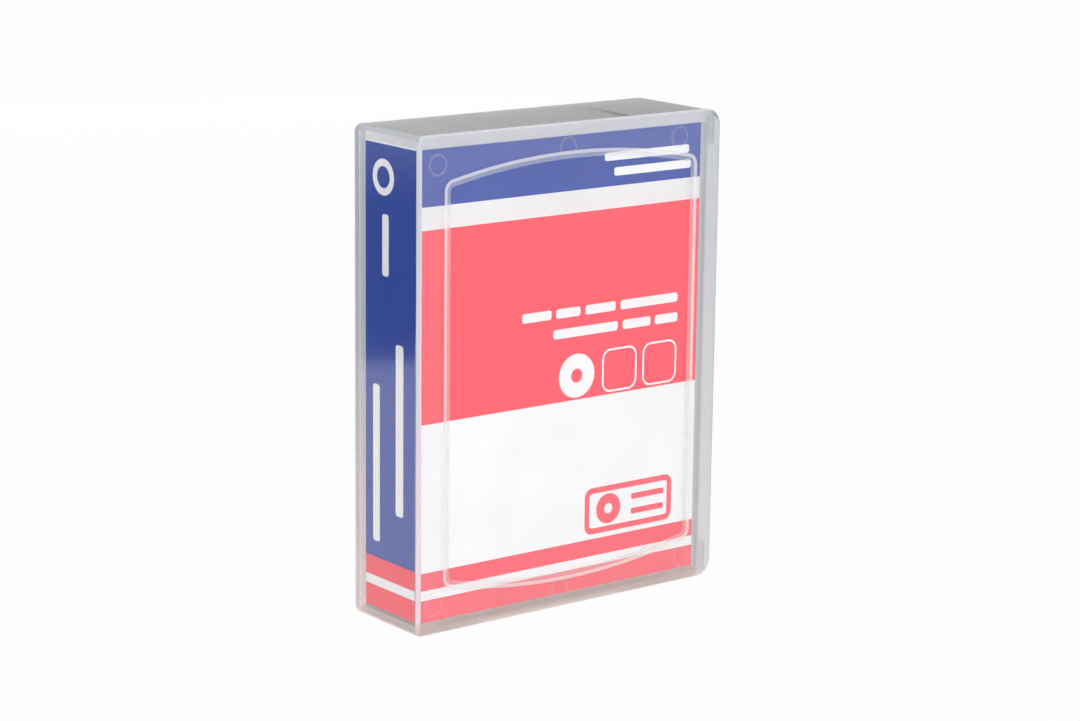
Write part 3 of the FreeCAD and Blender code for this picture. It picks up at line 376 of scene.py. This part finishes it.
def coat(piece, *plastics):
    """Gives a piece these plastics, and says which slot each of them has."""
    for plastic in plastics:
        piece.data.materials.append(plastic)
    return {plastic.name: slot for slot, plastic in enumerate(plastics)}


def box_mm(node):
    """A solid's lowest and highest corner, in millimetres."""
    return [[part * 1000 for part in corner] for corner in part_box(node)]


def cut_across(piece, *cuts):
    """Splits the faces at planes, each an axis and a place along it in millimetres."""
    bpy.ops.object.mode_set(mode="EDIT")
    for axis, place in cuts:
        across = Vector([letter == axis for letter in "xyz"])
        bpy.ops.mesh.select_all(action="SELECT")
        bpy.ops.mesh.bisect(plane_co=across * place / 1000, plane_no=across)
    bpy.ops.object.mode_set(mode="OBJECT")


# Painted shade: the darker grey of the tray, which is one plastic with its milky back.
case_shaded_grey = frosted_plastic(
    "case_shaded_grey", (0.49, 0.50, 0.50), (0.49, 0.49, 0.49), 0.30, (0.40, 0.50)
)
# Painted shade: the dark line in the crease where the ramp starts.
case_crease_shade = frosted_plastic(
    "case_crease_shade", (0.26, 0.26, 0.27), (0.26, 0.26, 0.27), 0.60, (0.40, 0.50)
)
case_panel = frosted_plastic(
    "case_panel", (0.94, 0.95, 0.985), (0.93, 0.92, 0.93), 0.50, (0.34, 0.44)
)
ramp_start = -30.8
ramp_length = 8.3
crease_width = 0.3
back_inside = 13.8
right_inside = 47.0
end_skin = 0.1
near_flat = 0.95
case_height = box_mm("case_tray")[1][2]
tray_moulding = merged_copy("case_tray_moulding", "case_tray")
slot = coat(tray_moulding, case_shaded_grey, case_crease_shade, case_panel)
soften(tray_moulding, rounding=0.2)
crease_start = ramp_start - crease_width
cut_across(tray_moulding, ("x", ramp_start), ("x", crease_start), ("y", ramp_length))
for face in tray_moulding.data.polygons:
    x, y, z = face.center * 1000
    on_end = z < end_skin or z > case_height - end_skin
    on_back = abs(face.normal.y) > near_flat and y > back_inside
    on_right = abs(face.normal.x) > near_flat and x > right_inside
    if abs(face.normal.z) > near_flat and on_end:
        if crease_start < x < ramp_start and y < ramp_length:
            face.material_index = slot["case_crease_shade"]
    elif on_back or on_right:
        face.material_index = slot["case_panel"]
set_in_place(tray_moulding, "tray", "case_tray")


# The spine is the narrow leaf between the hinges. It is clear over its card, which slips in
# behind it, and frosted round the edge, with a line of painted highlight and a groove in painted
# shade along the back, and painted shade under its card.
clear_white = (1.0, 1.0, 1.0)
case_border = frosted_plastic(
    "case_border", (0.62, 0.63, 0.69), (1.0, 0.86, 0.84), 0.66, (0.30, 0.40), rise=(5, 85)
)
case_window = frosted_plastic(
    "case_window", clear_white, clear_white, 0.01, (0.06, 0.10), grain=1.2, bump=0.001
)
# Painted shade: the darker plastic in the groove along the back.
case_groove_shade = frosted_plastic(
    "case_groove_shade", (0.50, 0.51, 0.54), (0.73, 0.69, 0.68), 0.40, (0.30, 0.40), rise=(30, 125)
)
case_milky = frosted_plastic(
    "case_milky", (0.94, 0.95, 0.985), (0.91, 0.79, 0.76), 0.50, (0.34, 0.44)
)
# Painted highlight: a whiter plastic for the lines that catch the light.
case_painted_highlight = frosted_plastic(
    "case_painted_highlight", (1.0, 0.99, 1.0), (1.0, 0.97, 0.97), 0.60, (0.20, 0.28)
)
case_shade = frosted_plastic(
    "case_shade", (0.50, 0.43, 0.42), (0.50, 0.43, 0.42), 0.70, (0.40, 0.50)
)
shade_drop = 1.0
highlight_start, highlight_end = 11.8, 12.3
groove_start, groove_end, groove_floor = 13.0, 13.6, 0.36
front_corner = -13.5
outer_skin = 0.05
facing = 0.9
flat = 0.99
card_low, card_high = box_mm("spine_insert")
outside = box_mm("case_spine")[0][0]
spine_moulding = merged_copy("case_spine_moulding", "case_spine")
slot = coat(
    spine_moulding, case_border, case_window, case_groove_shade, case_milky, case_painted_highlight, case_shade
)
soften(spine_moulding, rounding=0.12)
cut_across(
    spine_moulding,
    ("y", card_low[1]),
    ("y", card_high[1]),
    ("z", card_low[2]),
    ("z", card_high[2]),
    ("z", card_low[2] - shade_drop),
    ("y", highlight_start),
    ("y", highlight_end),
)
for face in spine_moulding.data.polygons:
    x, y, z = face.center * 1000
    if face.normal.x < -facing and y < front_corner:
        face.material_index = slot["case_window"]
    elif face.normal.x < -flat and x < outside + outer_skin:
        # A strip of painted highlight runs along the spine's face near the back.
        on_painted_highlight = highlight_start < y < highlight_end
        face.material_index = slot["case_painted_highlight" if on_painted_highlight else "case_window"]
    # Painted shade in the groove.
    elif x < outside + groove_floor and groove_start < y < groove_end:
        face.material_index = slot["case_groove_shade"]
    elif face.normal.x > flat and y < card_high[1]:
        if card_low[2] < z < card_high[2]:
            face.material_index = slot["case_window" if y > card_low[1] else "case_border"]
        else:
            in_shade = card_low[2] - shade_drop < z < card_low[2]
            face.material_index = slot["case_shade" if in_shade else "case_milky"]
set_in_place(spine_moulding, "spine", "case_spine")


# The cover is the front leaf: a clear plate over its card, with a frosted lip that hooks over
# the tray's right wall. Its sunk window has an arched head and foot, a bead round it in painted
# highlight and a sloping wall in a milkier plastic, a painted sheen, and the flat front of the
# moulding is closed again round its outline. The lip carries painted highlight where it turns up
# and painted shade where it turns right, and the plate painted shade above and below its card.
case_plate = frosted_plastic(
    "case_plate", (0.98, 0.985, 1.0), clear_white, 0.06, (0.10, 0.15), grain=1.2, bump=0.002
)
# Painted sheen: the window's sloping wall is milkier than the plate, for the light it catches.
case_slope_sheen = frosted_plastic(
    "case_slope_sheen", (0.94, 0.94, 0.97), (0.97, 0.94, 0.94), 0.28, (0.16, 0.24)
)
case_lip = frosted_plastic(
    "case_lip", (0.63, 0.65, 0.69), (0.80, 0.80, 0.79), 0.42, (0.34, 0.44), rise=(0, 138)
)
# Painted shade: the lip's faces that turn to the right are darker.
case_edge_shade = frosted_plastic(
    "case_edge_shade", (0.44, 0.45, 0.48), (0.60, 0.57, 0.57), 0.40, (0.30, 0.40)
)
# Painted shade: the plate above and below its card is greyer than over it.
case_strip_shade = frosted_plastic(
    "case_strip_shade", (0.80, 0.80, 0.86), (0.83, 0.72, 0.70), 0.35, (0.30, 0.40)
)
cover_plastics = (
    case_milky, case_plate, case_window, case_slope_sheen, case_painted_highlight, case_lip, case_edge_shade, case_strip_shade
)
window_half = 44.2
window_knee = 12.8
window_rise = 5.0
window_corner = 2.6
window_depth = 0.3
bead_width, bead_drop = 1.0, 0.1
slope_width = 1.2
corner_end = -51.0
lip_start = 47.3
rib_end = 46.5
behind_wall, behind_ribs = 1.55, 2.0
margin, hair = 0.1, 0.001
dead_flat = 0.9999
turned_up, turned_right = 0.2, 0.3
card_low, card_high = box_mm("front_insert")
outside = box_mm("case_cover")[0][1]
window_floor = outside + window_depth + margin
cover_moulding = merged_copy("case_cover_moulding", "case_cover")
slot = coat(cover_moulding, *cover_plastics)
bpy.ops.object.mode_set(mode="EDIT")
bpy.ops.mesh.select_mode(type="FACE")
bpy.ops.mesh.select_all(action="DESELECT")
bpy.ops.object.mode_set(mode="OBJECT")
for face in cover_moulding.data.polygons:
    x, y, z = face.center * 1000
    face.select = face.normal.y < -facing and x > corner_end and y < window_floor
bpy.ops.object.mode_set(mode="EDIT")
bpy.ops.mesh.delete(type="FACE")
bpy.ops.object.mode_set(mode="OBJECT")
soften(cover_moulding, rounding=0.2)
cut_across(
    cover_moulding,
    ("x", card_low[0]),
    ("x", card_high[0]),
    ("x", lip_start),
    ("z", card_low[2]),
    ("z", card_high[2]),
)
for face in cover_moulding.data.polygons:
    x, y, z = face.center * 1000
    on_inside = face.normal.y >= flat and y <= outside + behind_ribs
    if on_inside and card_low[2] < z < card_high[2]:
        if card_low[0] < x < card_high[0]:
            face.material_index = slot["case_window"]
        elif card_high[0] < x < lip_start:
            face.material_index = slot["case_lip"]

bpy.ops.object.select_all(action="DESELECT")
bpy.ops.mesh.primitive_plane_add(
    size=0.001,
    location=(0, outside / 1000, case_height / 2000),
    rotation=(math.radians(90), 0, 0),
)
window = bpy.context.object
window.scale = (2 * window_half, case_height - 2 * window_knee, 1)
bpy.ops.object.transform_apply(location=True, rotation=True, scale=True)
bpy.ops.object.mode_set(mode="EDIT")
bpy.ops.mesh.select_all(action="SELECT")
bpy.ops.mesh.bevel(offset=window_corner / 1000, segments=12, affect="VERTICES")
bpy.ops.mesh.select_mode(type="EDGE")
bpy.ops.mesh.select_all(action="DESELECT")
bpy.ops.object.mode_set(mode="OBJECT")
points = window.data.vertices
for edge in window.data.edges:
    start, end = (points[number].co * 1000 for number in edge.vertices)
    edge.select = abs(start.x - end.x) > window_half
bpy.ops.object.mode_set(mode="EDIT")
bpy.ops.mesh.subdivide(number_cuts=60)
bpy.ops.object.mode_set(mode="OBJECT")
arch_radius = (window_half**2 + window_rise**2) / (2 * window_rise)
arch_drop = arch_radius - window_rise
for point in window.data.vertices:
    rise = math.sqrt(arch_radius**2 - (point.co.x * 1000) ** 2) - arch_drop
    point.co.z += math.copysign(rise / 1000, point.co.z - case_height / 2000)
bpy.ops.object.mode_set(mode="EDIT")
bpy.ops.mesh.select_mode(type="FACE")
bpy.ops.mesh.select_all(action="SELECT")
bpy.ops.mesh.inset(thickness=bead_width / 1000)
bpy.ops.transform.translate(value=(0, bead_drop / 1000, 0))
bpy.ops.mesh.inset(thickness=slope_width / 1000)
bpy.ops.transform.translate(value=(0, (window_depth - bead_drop) / 1000, 0))
bpy.ops.object.mode_set(mode="OBJECT")
coat(window, *cover_plastics)
# The bead ring takes the painted highlight, the sloping wall the painted sheen.
for face in window.data.polygons:
    on_painted_highlight = face.center.y * 1000 - outside < bead_drop
    if face.select:
        face.material_index = slot["case_window"]
    else:
        face.material_index = slot["case_painted_highlight" if on_painted_highlight else "case_slope_sheen"]

bpy.ops.object.select_all(action="DESELECT")
window.select_set(True)
cover_moulding.select_set(True)
bpy.context.view_layer.objects.active = cover_moulding
bpy.ops.object.join()
bpy.ops.object.mode_set(mode="EDIT")
bpy.ops.mesh.select_mode(type="EDGE")
bpy.ops.mesh.select_all(action="DESELECT")
bpy.ops.mesh.select_non_manifold(extend=False)
bpy.ops.mesh.fill(use_beauty=True)
bpy.ops.object.mode_set(mode="OBJECT")
for face in cover_moulding.data.polygons:
    x, y, z = face.center * 1000
    if face.normal.y > facing and y < window_floor:
        face.flip()
    on_plate = face.normal.y < -dead_flat and y < outside + hair
    on_corner = face.normal.y < -facing and x < corner_end + margin
    if on_plate or on_corner:
        face.material_index = slot["case_plate"]
cut_across(cover_moulding, ("x", lip_start), ("z", card_low[2]), ("z", card_high[2]))
for face in cover_moulding.data.polygons:
    x, y, z = face.center * 1000
    if x > lip_start or x > rib_end and y > outside + behind_wall:
        # Painted highlight on the faces that turn up, painted shade on those that turn right.
        if face.normal.z > turned_up:
            face.material_index = slot["case_painted_highlight"]
        else:
            on_shaded_edge = face.normal.x > turned_right
            face.material_index = slot["case_edge_shade" if on_shaded_edge else "case_lip"]
    # Painted shade on the plate above and below the card.
    elif face.material_index == slot["case_plate"] and not card_low[2] < z < card_high[2]:
        face.material_index = slot["case_strip_shade"]
bpy.ops.object.shade_smooth()
set_in_place(cover_moulding, "cover", "case_cover")


# The living hinges: a thin web of the same plastic round each corner of the spine, whiter than
# the leaves and milky below the cards.
case_web = frosted_plastic(
    "case_web", (0.76, 0.77, 0.85), (1.0, 0.89, 0.95), 0.55, (0.34, 0.44), rise=(30, 115)
)
case_back_web = frosted_plastic(
    "case_back_web", (0.70, 0.70, 0.75), (1.0, 0.93, 0.92), 0.50, (0.30, 0.40), rise=(20, 125)
)
web_radius = 1.82
web_wall = 0.18
web_foot, web_length = 1.5, 135.0
web_half_turn = math.radians(17)
hinge_depth = 13.6


def hinge_web(name, middle_y, outward, plastic):
    """A thin strip round a corner of the spine, from one leaf to the next."""
    centre = Vector((corner_end, middle_y, 0.0)) / 1000
    bpy.ops.object.select_all(action="DESELECT")
    bpy.ops.mesh.primitive_circle_add(vertices=180, radius=web_radius / 1000, location=centre)
    web = bpy.context.object
    web.name = name
    bpy.ops.object.transform_apply(location=True, rotation=True, scale=True)
    bpy.ops.object.mode_set(mode="EDIT")
    for side in (-1, 1):
        turn = math.atan2(outward, -1) + side * web_half_turn
        across = (-math.sin(turn) * side, math.cos(turn) * side, 0)
        bpy.ops.mesh.select_all(action="SELECT")
        bpy.ops.mesh.bisect(plane_co=centre, plane_no=across, clear_outer=True)
    bpy.ops.mesh.select_all(action="SELECT")
    bpy.ops.transform.translate(value=(0, 0, web_foot / 1000))
    bpy.ops.mesh.extrude_edges_move(TRANSFORM_OT_translate={"value": (0, 0, web_length / 1000)})
    bpy.ops.mesh.select_all(action="SELECT")
    bpy.ops.mesh.normals_make_consistent(inside=False)
    bpy.ops.object.mode_set(mode="OBJECT")
    for face in web.data.polygons:
        if (face.center - centre).xy.dot(face.normal.xy) < 0:
            face.flip()
    wall = web.modifiers.new("wall", "SOLIDIFY")
    wall.thickness = web_wall / 1000
    wall.offset = 1.0
    bpy.ops.object.modifier_apply(modifier="wall")
    cut_across(web, ("z", card_low[2]))
    bpy.ops.object.shade_smooth_by_angle(angle=math.radians(40))
    coat(web, plastic, case_milky)
    for face in web.data.polygons:
        face.material_index = face.center.z * 1000 < card_low[2]
    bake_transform(web)


hinge_web("front_hinge_web", -hinge_depth, -1, case_web)
hinge_web("back_hinge_web", hinge_depth, 1, case_back_web)


# Two printed cards slip behind the cover and the spine. They are coated white card, printed in a
# deep blue and a coral red in broad bands that run round from the spine to the front.
def card_ink(name, colour):
    """Matt ink, or the bare coated card: a faint paper grain and a slight drift of tone."""
    dark = tuple(part * 0.96 for part in colour)
    return finish(name, colour, dark, (0.5, 0.6), grain=3.0, bump=0.004, shine=0.1)


card_white = card_ink("card_white", (0.93, 0.93, 0.94))
# Painted shade: the white band under the blue is painted greyer, as less light falls there.
card_shaded_white = card_ink("card_shaded_white", (0.84, 0.82, 0.83))
ink_blue = card_ink("ink_blue", (0.016, 0.058, 0.37))
ink_red = card_ink("ink_red", (0.98, 0.063, 0.104))
ink_rose = card_ink("ink_rose", (0.97, 0.108, 0.150))
front_side = Vector((0, -1, 0))
spine_side = Vector((-1, 0, 0))


def printed_card(name, node, body, side, cuts, inks):
    """A card cut across at the band edges, each band in its own ink from the foot up.

    Only the side that faces out is printed: the edges and the back stay white.
    """
    low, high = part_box(node)
    middle = [(a + b) / 2 for a, b in zip(low, high)]
    size = [b - a for a, b in zip(low, high)]
    bpy.ops.object.select_all(action="DESELECT")
    bpy.ops.mesh.primitive_cube_add(size=1, location=middle, scale=size)
    card = bpy.context.object
    card.name = name
    bpy.ops.object.transform_apply(location=True, rotation=True, scale=True)
    cut_across(card, *(("z", cut) for cut in cuts))
    coat(card, *inks, card_white)
    for face in card.data.polygons:
        band = sum(face.center.z * 1000 > cut for cut in cuts)
        face.material_index = band if face.normal.dot(side) > facing else len(inks)
    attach(card, body)
    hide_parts(node)


printed_card(
    "front_card",
    "front_insert",
    "cover",
    front_side,
    (9.8, 12.6, 17.6, 59.3, 112.5, 118.8),
    (ink_rose, card_white, ink_rose, card_white, ink_red, card_shaded_white, ink_blue),
)
printed_card(
    "spine_card",
    "spine_insert",
    "spine",
    spine_side,
    (9.8, 12.5, 18.0, 134.0),
    (ink_red, card_white, ink_red, ink_blue, card_white),
)


# The print on the cards: plain bars, rings and boxes in flat ink, a skin a few hundredths thick.
# They stand for a title block, a disk with two bays, and a drive above the red stripe.
front_turn = (math.radians(90), 0, 0)
spine_turn = (math.radians(90), 0, math.radians(-90))
ink_skin = 0.02
front_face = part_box("front_insert")[0][1] * 1000
spine_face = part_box("spine_insert")[0][0] * 1000


def flat_tile(place, turn, width, height, corner, line=0.0):
    """A flat tile with round corners, or only its outline when a line width is given."""
    bpy.ops.object.select_all(action="DESELECT")
    bpy.ops.mesh.primitive_plane_add(size=0.001, location=Vector(place) / 1000, rotation=turn)
    tile = bpy.context.object
    tile.scale = (width, height, 1)
    bpy.ops.object.transform_apply(location=True, rotation=True, scale=True)
    bpy.ops.object.mode_set(mode="EDIT")
    bpy.ops.mesh.select_all(action="SELECT")
    bpy.ops.mesh.bevel(offset=corner / 1000, segments=8, affect="VERTICES")
    if line:
        bpy.ops.mesh.select_all(action="SELECT")
        bpy.ops.mesh.inset(thickness=line / 1000)
        bpy.ops.mesh.delete(type="FACE")
    bpy.ops.object.mode_set(mode="OBJECT")
    return tile


def flat_ring(place, turn, outer, inner):
    """A flat ring between two circles."""
    spot = Vector(place) / 1000
    bpy.ops.object.select_all(action="DESELECT")
    bpy.ops.mesh.primitive_circle_add(
        vertices=96, radius=outer / 1000, location=spot, rotation=turn
    )
    ring = bpy.context.object
    bpy.ops.object.transform_apply(location=True, rotation=True, scale=True)
    bpy.ops.object.mode_set(mode="EDIT")
    bpy.ops.mesh.select_all(action="SELECT")
    bpy.ops.mesh.extrude_edges_move()
    bpy.ops.transform.resize(value=[inner / outer] * 3, center_override=spot)
    bpy.ops.object.mode_set(mode="OBJECT")
    return ring


def print_skin(name, shapes, ink, body, side):
    """The flat shapes as one piece, given its thickness and turned to face outwards."""
    bpy.ops.object.select_all(action="DESELECT")
    for shape in shapes:
        shape.select_set(True)
    bpy.context.view_layer.objects.active = shapes[0]
    bpy.ops.object.join()
    piece = bpy.context.object
    piece.name = name
    for face in piece.data.polygons:
        if face.normal.dot(side) < 0:
            face.flip()
    skin = piece.modifiers.new("skin", "SOLIDIFY")
    skin.thickness = ink_skin / 1000
    skin.offset = 1.0
    bpy.ops.object.modifier_apply(modifier="skin")
    piece.data.materials.append(ink)
    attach(piece, body)


bar_rounding = 0.3
disk_level, drive_level = 66.2, 25.8
title_bars = [
    flat_tile((x, front_face, z), front_turn, width, height, height * bar_rounding)
    for x, z, width, height in (
        (26.5, 127.2, 30.5, 2.4),
        (28.7, 122.8, 28.0, 2.4),
        (-11.9, 84.6, 10.2, 2.7),
        (-0.9, 84.6, 8.6, 2.7),
        (10.6, 84.6, 10.9, 2.7),
        (28.3, 84.6, 21.0, 2.7),
        (5.4, 78.8, 23.0, 2.7),
        (23.8, 78.8, 10.2, 2.7),
        (34.7, 78.8, 8.5, 2.7),
    )
]
disk_and_bays = [
    flat_ring((2.4, front_face, disk_level), front_turn, outer=6.3, inner=2.0),
    flat_tile((17.8, front_face, disk_level), front_turn, 12.6, 12.6, corner=3.0, line=0.6),
    flat_tile((32.5, front_face, disk_level), front_turn, 12.6, 12.6, corner=3.0, line=0.6),
]
drive_mark = [
    flat_tile((22.0, front_face, drive_level), front_turn, 32.0, 13.6, corner=2.6, line=1.7),
    flat_ring((14.6, front_face, drive_level), front_turn, outer=4.4, inner=1.5),
    flat_tile((29.0, front_face, 28.0), front_turn, 12.0, 1.7, corner=0.5),
    flat_tile((29.0, front_face, 23.6), front_turn, 12.0, 1.7, corner=0.5),
]
spine_marks = [
    flat_ring((spine_face, 1.9, 125.0), spine_turn, outer=5.0, inner=3.0),
    flat_tile((spine_face, 0.9, 106.5), spine_turn, 3.0, 17.0, corner=0.9),
    flat_tile((spine_face, 5.2, 45.0), spine_turn, 3.2, 44.7, corner=0.9),
    flat_tile((spine_face, -5.8, 56.0), spine_turn, 3.6, 48.0, corner=0.9),
]
white_marks = title_bars + disk_and_bays
print_skin("front_card_white_print", white_marks, card_white, "cover", front_side)
print_skin("front_card_red_print", drive_mark, ink_rose, "cover", front_side)
print_skin("spine_card_white_print", spine_marks, card_white, "spine", spine_side)


# The pins that push the cover out of its mould leave six faint round marks on its inside, three
# along each end. They are hardly more than a change of gloss, so they are nearly clear.
pin_witness = finish(
    "pin_witness", (0.95, 0.95, 0.97), (0.90, 0.90, 0.93), (0.4, 0.5), grain=3.0, bump=0.002
)
pin_witness.node_tree.nodes["Principled BSDF"].inputs["Alpha"].default_value = 0.06
pin_gap = 0.045
pin_marks = [
    flat_ring((x, front_face - pin_gap, z), front_turn, outer=3.1, inner=2.4)
    for x, z in (
        (-45.8, 129.8),
        (-1.8, 131.0),
        (38.2, 130.8),
        (-46.8, 7.6),
        (-2.8, 5.4),
        (42.2, 6.8),
    )
]
print_skin("case_pin_marks", pin_marks, pin_witness, "cover", -front_side)


# The studio floor is a pale sheet of paper under the case, and the room round it is white. Both
# look plain white to the eye, in a mirror and through glass, and light the case only softly.
floor_size, floor_drop = 6, 0.0004
paper_glow = 0.96
room_light = 0.55
plain_white = (1, 1, 1, 1)
bpy.ops.object.select_all(action="DESELECT")
bpy.ops.mesh.primitive_plane_add(size=floor_size, location=(0, 0, -floor_drop))
floor = bpy.context.object
floor.name = "studio_floor"
bpy.ops.object.transform_apply(location=True, rotation=True, scale=True)


def seen_plainly(tree):
    """1 for a ray that looks at a surface straight, in a mirror or through glass."""
    rays = add_node(tree, "ShaderNodeLightPath")
    mirrored = add_node(tree, "ShaderNodeMath", operation="MAXIMUM")
    through = add_node(tree, "ShaderNodeMath", operation="MAXIMUM")
    tree.links.new(rays.outputs["Is Camera Ray"], mirrored.inputs[0])
    tree.links.new(rays.outputs["Is Glossy Ray"], mirrored.inputs[1])
    tree.links.new(mirrored.outputs[0], through.inputs[0])
    tree.links.new(rays.outputs["Is Transmission Ray"], through.inputs[1])
    return through.outputs[0]


paper, tree, sheet = new_material("studio_paper")
sheet.inputs["Base Color"].default_value = (0.9, 0.9, 0.9, 1)
sheet.inputs["Roughness"].default_value = 0.9
glow = add_node(tree, "ShaderNodeEmission", {"Color": plain_white, "Strength": 1.0})
share = add_node(tree, "ShaderNodeMath", {1: paper_glow}, operation="MULTIPLY")
tree.links.new(seen_plainly(tree), share.inputs[0])
mix_shaders(tree, share.outputs[0], sheet, glow, "Material Output")
floor.data.materials.append(paper)

room = bpy.data.worlds.new("white_room")
bpy.context.scene.world = room
room.use_nodes = True
tree = room.node_tree
walls = tree.nodes["Background"]
walls.inputs["Color"].default_value = plain_white
walls.inputs["Strength"].default_value = room_light
bright = add_node(tree, "ShaderNodeBackground", {"Color": plain_white, "Strength": 1.0})
mix_shaders(tree, seen_plainly(tree), walls, bright, "World Output")


# A flag of black felt stands behind the case on the left, where only mirrors and glass see it.
# The glossy spine shows it as a deep blue; its upper edge glows a paler grey, painted light.
flag_middle = (-0.256, 0.262, 0.045)
flag_size = (0.5, 0.09, 1)
flag_turn = (math.radians(90), 0, math.radians(38))
flag_fade = (63, 83)
flag_glow = 0.32
bpy.ops.object.select_all(action="DESELECT")
bpy.ops.mesh.primitive_plane_add(size=1, location=flag_middle, rotation=flag_turn)
flag = bpy.context.object
flag.name = "studio_flag"
flag.scale = flag_size
bpy.ops.object.transform_apply(location=True, rotation=True, scale=True)
felt = finish("studio_felt_and_glow", (0.012, 0.012, 0.013), (0.008, 0.008, 0.009), (0.9, 1.0))
tree = felt.node_tree
cloth = tree.nodes["Principled BSDF"]
# Painted reflection: the felt glows paler towards its upper edge, though it is no lamp.
painted_glow = rise_between(tree, *flag_fade, high=flag_glow)
tree.links.new(painted_glow, cloth.inputs["Emission Color"])
cloth.inputs["Emission Strength"].default_value = 1.0
flag.data.materials.append(felt)
for ray in ("visible_camera", "visible_diffuse", "visible_shadow"):
    setattr(flag, ray, False)


# Four soft lamps light the case: a large one above on the left, a weaker one on the right, a
# faint one over the top and one low behind, all turned to the middle of the case.
aim = Vector((0, 0, 0.06))
for name, place, size, watts in (
    ("key_lamp", (-0.66, -0.72, 0.48), 0.7, 4.2),
    ("fill_lamp", (0.70, -0.80, 0.25), 0.7, 1.4),
    ("top_lamp", (0.0, 0.1, 1.0), 0.6, 0.5),
    ("back_lamp", (0.40, 1.0, 0.10), 0.7, 1.1),
):
    lamp = bpy.data.objects.new(name, bpy.data.lights.new(name, "AREA"))
    bpy.context.scene.collection.objects.link(lamp)
    lamp.data.size = size
    lamp.data.energy = watts
    lamp.location = place
    lamp.rotation_euler = (aim - lamp.location).to_track_quat("-Z", "Y").to_euler()


# The camera stands to the left of the front and a little above, as a product picture is taken.
# Its three directions and its place were fitted to the corners of the case.
camera = bpy.data.objects.new("camera", bpy.data.cameras.new("camera"))
bpy.context.scene.collection.objects.link(camera)
right = Vector((0.79159, -0.61095, 0.01161))
upward = Vector((0.12444, 0.17979, 0.97581))
back = Vector((-0.59825, -0.77099, 0.21835))
stand = Vector((-0.49817, -0.64263, 0.25013))
camera.matrix_world = Matrix((right, upward, back)).transposed().to_4x4()
camera.location = stand
camera.data.sensor_width = 36
camera.data.lens = 98.13
camera.data.clip_start = 0.01
bpy.context.scene.camera = camera
